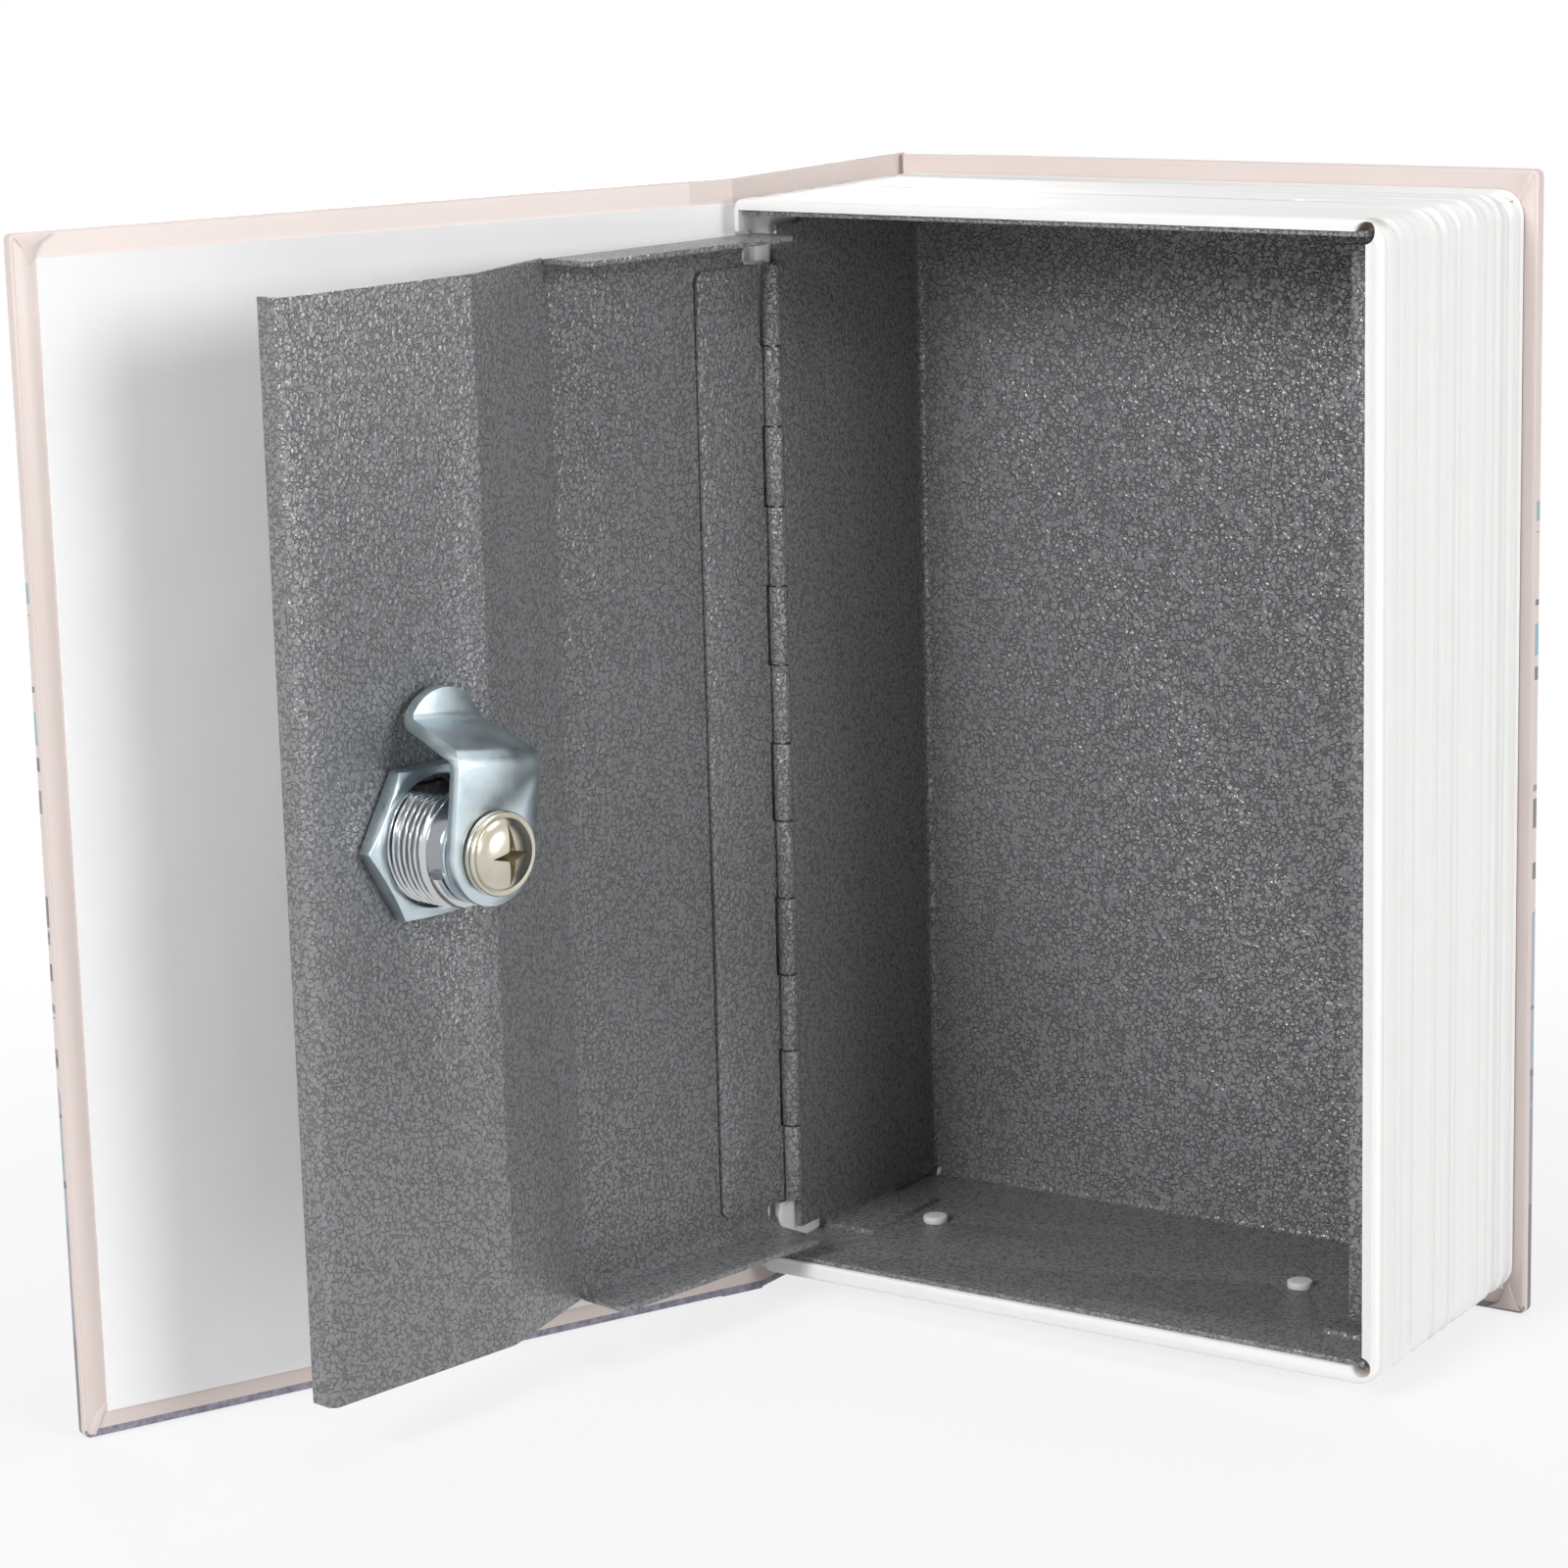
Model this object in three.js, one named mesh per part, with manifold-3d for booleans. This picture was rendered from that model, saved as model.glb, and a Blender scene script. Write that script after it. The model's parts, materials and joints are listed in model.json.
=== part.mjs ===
// A book diversion safe: a hardback case round a moulded page block, with a folded steel
// box, a hinged steel door and a cam lock inside. Millimetres, +Z up. The book stands on
// the bottom edges of its covers, opens towards -Y and has its spine at -X.
// Each body is drawn in its closed place and then turned to its open rest place.

import * as THREE from 'three';
import { mergeVertices } from 'three/addons/utils/BufferGeometryUtils.js';
import Module from 'manifold-3d';

const wasm = await Module();
wasm.setup();

// Rest pose
const COVER_OPEN_DEG = 115;
const DOOR_OPEN_DEG = 100.6;

// Case: greyboard wrapped in printed paper, lined with white endpaper
const BOOK_HEIGHT = 180;
const COVER_WIDTH = 112.4;
const BOARD = 1.95;
const WRAP = 0.3;
const ENDPAPER = 0.3;
const TURN_IN = 12;
const ENDPAPER_MARGIN = 3.8;
const FORE_MARGIN = 3.8;
const GLUE_LINE = 0.1;
const COVER_T = ENDPAPER + WRAP + BOARD + WRAP;
const SPINE_INNER_X = -0.05;
const BACK_JOINT = 0.6;
const SPINE_CORNER_R = 0.9;
const SPINE_END_SETBACK = 2.4;
const COVER_CLEARANCE = 0.4;

// The front cover turns on the paper of its joint: a free lip on the spine and a free
// strip on the cover, whose turning point lies inside the fold.
const COVER_AXIS_X = -2.25;
const COVER_AXIS_DEPTH = 0.6;
const FRONT_JOINT = 3.75;
const STRIP_START = -1;
const LIP_REACH = 4.5;

// Page block: a white moulded ring with ribs on its fore-edge
const BLOCK_DEPTH = 50.4;
const BLOCK_LEFT_X = 1.2;
const BLOCK_FORE_SQUARE = 2;
const BLOCK_FORE_DRAFT = 1.6;
const BLOCK_HEAD_SQUARE = 2.9;
const BLOCK_FOOT_SQUARE = 3.8;
const BLOCK_HEAD_WALL = 1.7;
const BLOCK_FOOT_WALL = 2.7;
const BLOCK_FORE_WALL = 1.5;
const BLOCK_SPINE_WALL = 1.1;
const BLOCK_CORNER_R = 4;
const BLOCK_SPINE_CORNER_R = 1.5;
const BLOCK_FRONT_INSET = 1;
const BLOCK_FRONT_DEPTH = 4;
const BLOCK_LIP_R = 0.8;
const RIB_PITCH = 4;
const RIB_DEPTH = 0.55;
const RIB_WANDER = 0.22;
const RIB_STEPS = 4;
const RIB_RETURN = 28;
const RIB_HEAD_SHARE = 0.6;
const POCKET_R = 1.6;
const POCKET_DEPTH = 3.5;
const POCKET_INSET = 0.2;
const SPINE_WALL_FRONT = 4.4;
const SPINE_WALL_AT_HINGE = 7.9;
const SPINE_WALL_FILLET = 1.6;
const SWING_CLEARANCE = 0.5;

// Steel box folded from sheet
const SHEET = 0.8;
const BEND_R = 0.8;
const FLOOR_SETBACK = 0.8;
const HINGE_WALL_FRONT = 8.1;
const STRIKE_SETBACK = 12.8;
const STRIKE_REACH = 8.5;
const STRIKE_END_GAP = 1.1;
const STRIKE_CORNER_R = 1.6;
const SIDE_WALL_GAP = 0.25;
const TAB_REACH = 9;
const TAB_SETBACK = 15.4;
const TAB_LENGTH = 20;
const RELIEF = 1.9;
const WALL_NOTCH = 2.2;
const BEAD_LENGTH = 6.4;
const BEAD_INSET = 11.1;
const BEAD_AHEAD = 2.8;
const BEAD_R = 0.7;

// Snap rivets that hold the box in the page block
const RIVET_SETBACK = 26.7;
const RIVET_INSET_LEFT = 16.8;
const RIVET_INSET_RIGHT = 23.9;
const RIVET_HEAD_R = 2;
const RIVET_HEAD_H = 1.2;
const RIVET_SHANK_R = 1.2;
const RIVET_CLEARANCE = 0.3;
const RIVET_TAIL_GAP = 0.3;

// Piano hinge
const LEAF = 0.7;
const KNUCKLE_R = 1.5;
const PIN_CLEARANCE = 0.15;
const KNUCKLES = 12;
const KNUCKLE_GAP = 0.3;
const HINGE_END_INSET = 5;
const LEAF_WIDTH = 15.2;
const LEAF_CORNER_R = 1.6;
const BOX_LEAF_WIDTH = 14.3;
const HINGE_SETBACK = 6.1;
const LEAF_SEAT = 0.05;
const LEAF_ROLL_END_DEG = 290;

// Door
const DOOR_WIDTH = 103.4;
const DOOR_HEAD_CLEARANCE = 3;
const DOOR_FOOT_CLEARANCE = 2.5;
const DOOR_EDGE_S = 2.5;
const DOOR_WELD_GAP = 0.15;
const JOGGLE_DEPTH = 8.05;
const JOGGLE_START_S = 45.5;
const JOGGLE_END_S = 67.5;
const DOOR_BEND_R = 2.2;
const DOOR_LIP = 4.5;
const DOOR_LIP_BEND_R = 0.7;
const FLANGE_REACH = 8.6;
const FLANGE_END_S = 46.7;
const FLANGE_NOTCH_R = 1.2;
const FLANGE_NOTCH_S = 4.5;
const FLANGE_CORNER_R = 1.4;
const FLANGE_LAP = 6;

// Cam lock
const LOCK_EDGE_DISTANCE = 22.2;
const LOCK_RISE = 0.6;
const LOCK_REST_TURN_DEG = 7;
const LOCK_THREAD_R = 9.5;
const LOCK_FLATS = 16;
const LOCK_HOLE_CLEARANCE = 0.3;
const LOCK_HEAD_R = 11;
const LOCK_HEAD_T = 6;
const LOCK_HEAD_BEVEL = 1;
const LOCK_SEAT_GAP = 0.3;
const NUT_AF = 22;
const NUT_T = 3;
const NUT_BEVEL = 0.7;
const BARREL_STAND_OFF = 12.1;
const STOP_CUT_DEPTH = 2;
const STOP_CUT_R = 7.4;
const PLUG_R = 5.85;
const PLUG_CLEARANCE = 0.3;
const PLUG_FACE_RECESS = 0.4;
const KEYWAY_W = 1.4;
const KEYWAY_H = 8;
const KEYWAY_DEPTH = 15;
const WAFERS = 5;
const WAFER_T = 0.8;
const WAFER_PITCH = 2.2;
const WAFER_FIRST = 3.4;
const WAFER_W = 5;
const WAFER_H = 9.4;
const WAFER_WINDOW_W = 1.9;
const WAFER_WINDOW_H = 5;
const WAFER_SLOT_CLEARANCE = 0.25;
const WAFER_RISE = 0.35;
const SPRING_R = 0.55;
const SPRING_WIRE_R = 0.13;
const SPRING_TURNS = 3;
const SPRING_LENGTH = 3.2;
const SPRING_CLEARANCE = 0.2;
const TAIL_SQUARE = 7;
const TAIL_CLEARANCE = 0.25;
const STACK_GAP = 0.3;
const STOP_WASHER_R = 7.9;
const STOP_WASHER_T = 0.9;
const STOP_TAB_W = 3;
const CAM_T = 1.8;
const CAM_WIDTH = 15.6;
const CAM_ROOT_BEND = 13.8;
const CAM_TIP_BEND = 17.4;
const CAM_LENGTH = 22.4;
const CAM_TIP_R = 7;
const CAM_STRIKE_GAP = 0.5;
const CAM_BEND_R = 1.2;
const WASHER_R = 6.2;
const WASHER_BORE_R = 3;
const WASHER_T = 0.7;
const SCREW_HEAD_R = 5.4;
const SCREW_HEAD_H = 2.5;
const SCREW_SHANK_R = 2.3;
const SCREW_LENGTH = 8;
const SCREW_CLEARANCE = 0.3;
const CROSS_W = 1.3;
const CROSS_SPAN = 5;
const CROSS_DEPTH = 1.2;

// Resolution of round work
const ROUND = 32;
const ROUND_LARGE = 48;
const ROUND_SMALL = 16;
const CORNER_STEPS = 6;
const ROUNDING_STEPS = 8;
const SPRING_STEPS = 7;
const CUT = 1;

// Places worked out from the sizes
const FORE_X = COVER_WIDTH;
const BLOCK_FORE_X = FORE_X - BLOCK_FORE_SQUARE;
const BLOCK_BOTTOM_Z = BLOCK_FOOT_SQUARE;
const BLOCK_TOP_Z = BOOK_HEIGHT - BLOCK_HEAD_SQUARE;
const FRONT_Y = -BLOCK_DEPTH;
const CAVITY_LEFT_X = BLOCK_LEFT_X + BLOCK_SPINE_WALL;
const CAVITY_RIGHT_X = BLOCK_FORE_X - BLOCK_FORE_WALL;
const CAVITY_BOTTOM_Z = BLOCK_BOTTOM_Z + BLOCK_FOOT_WALL;
const CAVITY_TOP_Z = BLOCK_TOP_Z - BLOCK_HEAD_WALL;
const FLOOR_Z = CAVITY_BOTTOM_Z + SHEET;
const CEILING_Z = CAVITY_TOP_Z - SHEET;
const BOX_LEFT_X = CAVITY_LEFT_X + LEAF + 2 * LEAF_SEAT;
const BOX_INNER_LEFT_X = BOX_LEFT_X + SHEET;
const HINGE_AXIS_X = CAVITY_LEFT_X + LEAF_SEAT + KNUCKLE_R;
const HINGE_AXIS_Y = FRONT_Y + HINGE_SETBACK;
const SPINE_END_Y = FRONT_Y + SPINE_END_SETBACK;
const STRIKE_Y = FRONT_Y + STRIKE_SETBACK;
const BEAD_Y = STRIKE_Y - BEAD_AHEAD;
const TAB_FRONT_Y = FRONT_Y + TAB_SETBACK;
const RIVET_Y = FRONT_Y + RIVET_SETBACK;
const PIN_R = KNUCKLE_R - LEAF - PIN_CLEARANCE;
const COVER_INNER_Y = FRONT_Y - COVER_CLEARANCE;
const COVER_AXIS_Y = COVER_INNER_Y - COVER_AXIS_DEPTH;
const SPINE_OUTER_X = SPINE_INNER_X - COVER_T;
const BACK_START_X = SPINE_INNER_X + BACK_JOINT;
const FRONT_FORE_X = FORE_X - COVER_AXIS_X;
const DOOR_BOTTOM_Z = FLOOR_Z + DOOR_FOOT_CLEARANCE;
const DOOR_TOP_Z = CEILING_Z - DOOR_HEAD_CLEARANCE;
const LOCK_S = DOOR_WIDTH - LOCK_EDGE_DISTANCE;
const LOCK_Z = (DOOR_BOTTOM_Z + DOOR_TOP_Z) / 2 + LOCK_RISE;
const DOOR_INNER_N = -(KNUCKLE_R + DOOR_WELD_GAP);
const LOCK_SIDE_N = DOOR_INNER_N + JOGGLE_DEPTH;
const HINGE_BOTTOM_Z = DOOR_BOTTOM_Z + HINGE_END_INSET;
const HINGE_TOP_Z = DOOR_TOP_Z - HINGE_END_INSET;
const KNUCKLE_PITCH = (HINGE_TOP_Z - HINGE_BOTTOM_Z) / KNUCKLES;
const STRIKE_BACK_N = STRIKE_Y + SHEET - HINGE_AXIS_Y;
const BARREL_END_N = LOCK_SIDE_N + BARREL_STAND_OFF;
const STOP_WASHER_N = BARREL_END_N + STACK_GAP;
const CAM_N = STOP_WASHER_N + STOP_WASHER_T + STACK_GAP;
const CAM_TIP_N = STRIKE_BACK_N + CAM_STRIKE_GAP;
const WASHER_N = CAM_N + CAM_T + STACK_GAP;
const SCREW_HEAD_N = WASHER_N + WASHER_T + STACK_GAP;
const LOCK_HEAD_FACE_N = LOCK_SIDE_N - SHEET - LOCK_SEAT_GAP - LOCK_HEAD_T;
const PLUG_FACE_N = LOCK_HEAD_FACE_N + PLUG_FACE_RECESS;

const paint = (color, roughness, metalness) =>
  new THREE.MeshStandardMaterial({ color, roughness, metalness });

const materials = {
  greyboard: paint('#a89c8c', 0.95, 0),
  printedPaper: paint('#dfd0c8', 0.5, 0),
  endpaper: paint('#f2f2f0', 0.8, 0),
  mouldedPages: paint('#f1f1f0', 0.45, 0),
  powderCoat: paint('#5d5f61', 0.42, 0.3),
  pinSteel: paint('#8c8f92', 0.35, 1),
  whiteNylon: paint('#ededea', 0.5, 0),
  chrome: paint('#d5d8db', 0.15, 1),
  zinc: paint('#b9c2c6', 0.3, 1),
  yellowZinc: paint('#c4b98f', 0.3, 1),
  brass: paint('#b79b56', 0.35, 1),
  springSteel: paint('#9a9ca0', 0.3, 1),
};

// Solid helpers

function toSolid(geometry) {
  const bare = geometry.clone();
  bare.deleteAttribute('normal');
  bare.deleteAttribute('uv');
  const merged = mergeVertices(bare, 1e-4);
  return new wasm.Manifold(new wasm.Mesh({
    numProp: 3,
    vertProperties: new Float32Array(merged.attributes.position.array),
    triVerts: new Uint32Array(merged.index.array),
  }));
}

function toMesh(name, solid, material) {
  const result = solid.getMesh();
  const geometry = new THREE.BufferGeometry();
  geometry.setAttribute('position', new THREE.BufferAttribute(new Float32Array(result.vertProperties), 3));
  geometry.setIndex(new THREE.BufferAttribute(new Uint32Array(result.triVerts), 1));
  geometry.computeVertexNormals();
  const mesh = new THREE.Mesh(geometry, material);
  mesh.name = name;
  return mesh;
}

function block(x0, x1, y0, y1, z0, z1) {
  const geometry = new THREE.BoxGeometry(x1 - x0, y1 - y0, z1 - z0);
  geometry.translate((x0 + x1) / 2, (y0 + y1) / 2, (z0 + z1) / 2);
  return toSolid(geometry);
}

function extruded(shape, depth, curveSegments = CORNER_STEPS) {
  return new THREE.ExtrudeGeometry(shape, { depth, bevelEnabled: false, curveSegments });
}

// Extrudes an outline in X and Y from z0 to z1.
function prismZ(shape, z0, z1) {
  const geometry = extruded(shape, z1 - z0);
  geometry.translate(0, 0, z0);
  return toSolid(geometry);
}

// Extrudes an outline in X and Z from y0 to y1.
function prismY(shape, y0, y1) {
  const geometry = extruded(shape, y1 - y0);
  geometry.rotateX(Math.PI / 2);
  geometry.translate(0, y1, 0);
  return toSolid(geometry);
}

// Extrudes an outline in Y and Z from x0 to x1.
function prismX(shape, x0, x1) {
  const geometry = extruded(shape, x1 - x0);
  geometry.applyMatrix4(new THREE.Matrix4().makeBasis(
    new THREE.Vector3(0, 1, 0), new THREE.Vector3(0, 0, 1), new THREE.Vector3(1, 0, 0)));
  geometry.translate(x0, 0, 0);
  return toSolid(geometry);
}

// Turns a closed profile of [radius, place along +Y] points about the Y axis.
function turnedY(profile, steps) {
  const points = profile.map(([radius, along]) => new THREE.Vector2(radius, along));
  return toSolid(new THREE.LatheGeometry(points, steps));
}

function cylinderY(radius, y0, y1, steps = ROUND) {
  const geometry = new THREE.CylinderGeometry(radius, radius, y1 - y0, steps);
  geometry.translate(0, (y0 + y1) / 2, 0);
  return toSolid(geometry);
}

function cylinderZ(x, y, radius, z0, z1, steps = ROUND) {
  const geometry = new THREE.CylinderGeometry(radius, radius, z1 - z0, steps);
  geometry.rotateX(Math.PI / 2);
  geometry.translate(x, y, (z0 + z1) / 2);
  return toSolid(geometry);
}

function roundedRect(x0, x1, y0, y1, radii) {
  const [bl, br, tr, tl] = radii;
  const shape = new THREE.Shape();
  shape.moveTo(x0 + bl, y0);
  shape.lineTo(x1 - br, y0);
  if (br > 0) shape.absarc(x1 - br, y0 + br, br, -Math.PI / 2, 0, false);
  shape.lineTo(x1, y1 - tr);
  if (tr > 0) shape.absarc(x1 - tr, y1 - tr, tr, 0, Math.PI / 2, false);
  shape.lineTo(x0 + tl, y1);
  if (tl > 0) shape.absarc(x0 + tl, y1 - tl, tl, Math.PI / 2, Math.PI, false);
  shape.lineTo(x0, y0 + bl);
  if (bl > 0) shape.absarc(x0 + bl, y0 + bl, bl, Math.PI, Math.PI * 1.5, false);
  return shape;
}

function outline(points) {
  return new THREE.Shape(points.map(([x, y]) => new THREE.Vector2(x, y)));
}

// The outline of a folded sheet: its centre line runs through the corners, and each inner
// corner is bent to the given inside radius.
function foldedSheet(corners, thickness, insideRadius, steps = CORNER_STEPS) {
  const points = corners.map(([x, y]) => new THREE.Vector2(x, y));
  const centre = [];
  const place = (point, heading) => {
    centre.push({ point, normal: new THREE.Vector2(-heading.y, heading.x) });
  };
  const headings = points.slice(1).map((p, i) => p.clone().sub(points[i]).normalize());
  place(points[0], headings[0]);
  for (let i = 1; i < points.length - 1; i += 1) {
    const before = headings[i - 1];
    const after = headings[i];
    const turn = Math.atan2(before.cross(after), before.dot(after));
    const radius = insideRadius + thickness / 2;
    const setback = radius * Math.tan(Math.abs(turn) / 2);
    const start = points[i].clone().addScaledVector(before, -setback);
    const side = Math.sign(turn);
    const hub = start.clone().add(new THREE.Vector2(-before.y, before.x).multiplyScalar(radius * side));
    for (let k = 0; k <= steps; k += 1) {
      const angle = turn * k / steps;
      const point = start.clone().rotateAround(hub, angle);
      const heading = before.clone().rotateAround(new THREE.Vector2(), angle);
      place(point, heading);
    }
  }
  place(points[points.length - 1], headings[headings.length - 1]);
  const side = (sign) => centre.map(({ point, normal }) =>
    point.clone().addScaledVector(normal, sign * thickness / 2));
  return new THREE.Shape([...side(-1), ...side(1).reverse()]);
}

// Case

// One wrapped cover from its joint to its fore-edge, drawn from its inner face outwards:
// the board, and the printed paper that covers it and is turned in on three sides.
function coverBoard(startX, foreX, innerY, outwards) {
  const near = innerY + outwards * (ENDPAPER + WRAP + GLUE_LINE);
  const far = innerY + outwards * (COVER_T - WRAP - GLUE_LINE);
  const inset = WRAP + GLUE_LINE;
  return block(startX, foreX - inset, Math.min(near, far), Math.max(near, far), inset, BOOK_HEIGHT - inset);
}

function coverWrap(startX, foreX, innerY, outwards) {
  const at = (depth) => innerY + outwards * depth;
  const span = (a, b) => [Math.min(at(a), at(b)), Math.max(at(a), at(b))];
  const whole = block(startX, foreX, ...span(ENDPAPER, COVER_T), 0, BOOK_HEIGHT);
  const hollow = span(ENDPAPER + WRAP, COVER_T - WRAP);
  const pocket = block(startX - CUT, foreX - WRAP, ...hollow, WRAP, BOOK_HEIGHT - WRAP);
  const opening = span(0, ENDPAPER + 2 * WRAP);
  const window = block(startX - CUT, foreX - TURN_IN, ...opening, TURN_IN, BOOK_HEIGHT - TURN_IN);
  return whole.subtract(pocket).subtract(window);
}

// The front cover's paper runs on past its board as the free strip of the joint.
function frontWrap() {
  const inner = COVER_AXIS_DEPTH;
  const outer = inner - COVER_T;
  const strip = block(STRIP_START, FRONT_JOINT + CUT, outer, outer + WRAP, 0, BOOK_HEIGHT);
  return coverWrap(FRONT_JOINT, FRONT_FORE_X, inner, -1).add(strip);
}

function frontEndpaper() {
  const inner = COVER_AXIS_DEPTH;
  const foreX = FRONT_FORE_X - FORE_MARGIN;
  const outer = inner - ENDPAPER + GLUE_LINE;
  return block(FRONT_JOINT, foreX, outer, inner, ENDPAPER_MARGIN, BOOK_HEIGHT - ENDPAPER_MARGIN);
}

// The outline of the spine, inset from the outside of its paper.
function spinePlan(inset, endY) {
  const corner = Math.max(0, SPINE_CORNER_R - inset);
  const innerX = SPINE_INNER_X - ENDPAPER;
  return roundedRect(SPINE_OUTER_X + inset, innerX - inset, endY, COVER_T - inset, [0, 0, 0, corner]);
}

function spineBoard() {
  const inset = WRAP + GLUE_LINE;
  return prismZ(spinePlan(inset, SPINE_END_Y), inset, BOOK_HEIGHT - inset);
}

// The paper on the spine, turned in at its head and tail. It bridges the back joint to
// the back cover and ends in the free lip of the front joint.
function spineWrap() {
  const whole = prismZ(spinePlan(0, SPINE_END_Y), 0, BOOK_HEIGHT);
  const pocket = prismZ(spinePlan(WRAP, SPINE_END_Y - CUT), WRAP, BOOK_HEIGHT - WRAP);
  const innerX = SPINE_INNER_X - ENDPAPER;
  const windowEndY = COVER_T - 2 * WRAP;
  const window = block(innerX - 2 * WRAP, innerX + CUT, SPINE_END_Y - CUT, windowEndY,
    TURN_IN, BOOK_HEIGHT - TURN_IN);
  const bridge = block(innerX - WRAP, BACK_START_X, COVER_T - WRAP, COVER_T, 0, BOOK_HEIGHT);
  const lip = block(SPINE_OUTER_X, SPINE_OUTER_X + WRAP, SPINE_END_Y - LIP_REACH, SPINE_END_Y + CUT,
    0, BOOK_HEIGHT);
  return whole.subtract(pocket).subtract(window).add(bridge).add(lip);
}

// One sheet of white lining on the inside of the back cover and of the spine.
function rearEndpaper() {
  const y = ENDPAPER / 2;
  const x = SPINE_INNER_X - ENDPAPER / 2;
  const sheet = foldedSheet([[x, SPINE_END_Y], [x, y], [FORE_X - FORE_MARGIN, y]], ENDPAPER, 0);
  return prismZ(sheet, ENDPAPER_MARGIN, BOOK_HEIGHT - ENDPAPER_MARGIN);
}

// Page block

// How far the fore-edge lies inside its crest at depth y: irregular ribs like the edges
// of gathered pages. They run on, less deep, over the head and the tail.
function ribInset(y) {
  const along = -y / RIB_PITCH;
  const phase = along + RIB_WANDER * Math.sin(2.3 * along) + RIB_WANDER * Math.sin(5.1 * along + 1);
  const wave = 0.5 - 0.5 * Math.cos(2 * Math.PI * phase);
  return RIB_DEPTH * wave ** 1.5;
}

// The moulding is drawn out of its tool forwards, so the fore-edge widens to the front.
function foreX(y) {
  return BLOCK_FORE_X - BLOCK_FORE_DRAFT * y / BLOCK_DEPTH;
}

// How far a rounded front edge lies inside its face at depth y.
function edgeInset(y, inset, depth) {
  const reach = (y - FRONT_Y) / depth;
  if (reach >= 1) return 0;
  return inset * (1 - Math.sqrt(1 - (1 - reach) ** 2));
}

function blockSection(y) {
  const lip = edgeInset(y, BLOCK_LIP_R, BLOCK_LIP_R);
  const ribbed = y > FRONT_Y + BLOCK_FRONT_DEPTH ? ribInset(y) : 0;
  const fore = edgeInset(y, BLOCK_FRONT_INSET, BLOCK_FRONT_DEPTH) + ribbed;
  const x0 = BLOCK_LEFT_X + lip;
  const x1 = foreX(y) - fore;
  const z0 = BLOCK_BOTTOM_Z + lip;
  const z1 = BLOCK_TOP_Z - lip;
  const section = [];
  const corner = (x, z, radius, start, steps) => {
    for (let k = 0; k <= steps; k += 1) {
      const angle = start + Math.PI / 2 * k / steps;
      section.push([x + radius * Math.cos(angle), z + radius * Math.sin(angle)]);
    }
  };
  const small = BLOCK_SPINE_CORNER_R;
  const large = BLOCK_CORNER_R;
  const shallow = ribbed * RIB_HEAD_SHARE;
  section.push([BLOCK_FORE_X - RIB_RETURN, z0 + shallow]);
  corner(x1 - large, z0 + ribbed + large, large, -Math.PI / 2, CORNER_STEPS + 2);
  corner(x1 - large, z1 - ribbed - large, large, 0, CORNER_STEPS + 2);
  section.push([BLOCK_FORE_X - RIB_RETURN, z1 - shallow]);
  corner(x0 + small, z1 - shallow - small, small, Math.PI / 2, 3);
  corner(x0 + small, z0 + shallow + small, small, Math.PI, 3);
  return section;
}

// The ribbed outside of the block, lofted through its sections from front to back.
function blockBody() {
  const stations = [];
  for (let k = 0; k < ROUNDING_STEPS; k += 1) {
    stations.push(FRONT_Y + BLOCK_FRONT_DEPTH * (1 - Math.cos(Math.PI / 2 * k / ROUNDING_STEPS)));
  }
  const ribbed = BLOCK_DEPTH - BLOCK_FRONT_DEPTH;
  const count = Math.ceil(ribbed / RIB_PITCH * RIB_STEPS);
  for (let k = 0; k <= count; k += 1) stations.push(FRONT_Y + BLOCK_FRONT_DEPTH + ribbed * k / count);
  const rings = stations.map((y) => blockSection(y).map(([x, z]) => [x, y, z]));
  const size = rings[0].length;
  const positions = rings.flat(2);
  const index = [];
  for (let r = 0; r < rings.length - 1; r += 1) {
    for (let k = 0; k < size; k += 1) {
      const a = r * size + k;
      const b = r * size + (k + 1) % size;
      index.push(a, a + size, b, b, a + size, b + size);
    }
  }
  const front = positions.length / 3;
  const middleX = (BLOCK_LEFT_X + BLOCK_FORE_X) / 2;
  positions.push(middleX, FRONT_Y, BOOK_HEIGHT / 2, middleX, 0, BOOK_HEIGHT / 2);
  const last = (rings.length - 1) * size;
  for (let k = 0; k < size; k += 1) {
    const next = (k + 1) % size;
    index.push(front, k, next, front + 1, last + next, last + k);
  }
  const geometry = new THREE.BufferGeometry();
  geometry.setAttribute('position', new THREE.Float32BufferAttribute(positions, 3));
  geometry.setIndex(index);
  return toSolid(geometry);
}

function pageBlock() {
  const cavity = block(CAVITY_LEFT_X, CAVITY_RIGHT_X, FRONT_Y - CUT, CUT, CAVITY_BOTTOM_Z, CAVITY_TOP_Z);
  let ring = blockBody().subtract(cavity);
  for (const z of [CAVITY_BOTTOM_Z + POCKET_INSET, CAVITY_TOP_Z - POCKET_INSET]) {
    const pocket = cylinderY(POCKET_R, FRONT_Y - CUT, FRONT_Y + POCKET_DEPTH);
    ring = ring.subtract(pocket.translate([CAVITY_RIGHT_X - POCKET_INSET, 0, z]));
  }
  const swing = SWING_CLEARANCE;
  for (const [reach, z0, z1] of [
    [SPINE_WALL_FRONT, DOOR_BOTTOM_Z - swing, DOOR_TOP_Z + swing],
    [SPINE_WALL_AT_HINGE, HINGE_BOTTOM_Z - swing, HINGE_TOP_Z + swing],
  ]) {
    const fillets = [0, SPINE_WALL_FILLET, SPINE_WALL_FILLET, 0];
    const frontCut = roundedRect(FRONT_Y - CUT, FRONT_Y + reach, z0, z1, fillets);
    ring = ring.subtract(prismX(frontCut, BLOCK_LEFT_X - CUT, CAVITY_LEFT_X + CUT));
  }
  return ring.subtract(rivetHoles());
}

// Steel box

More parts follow.
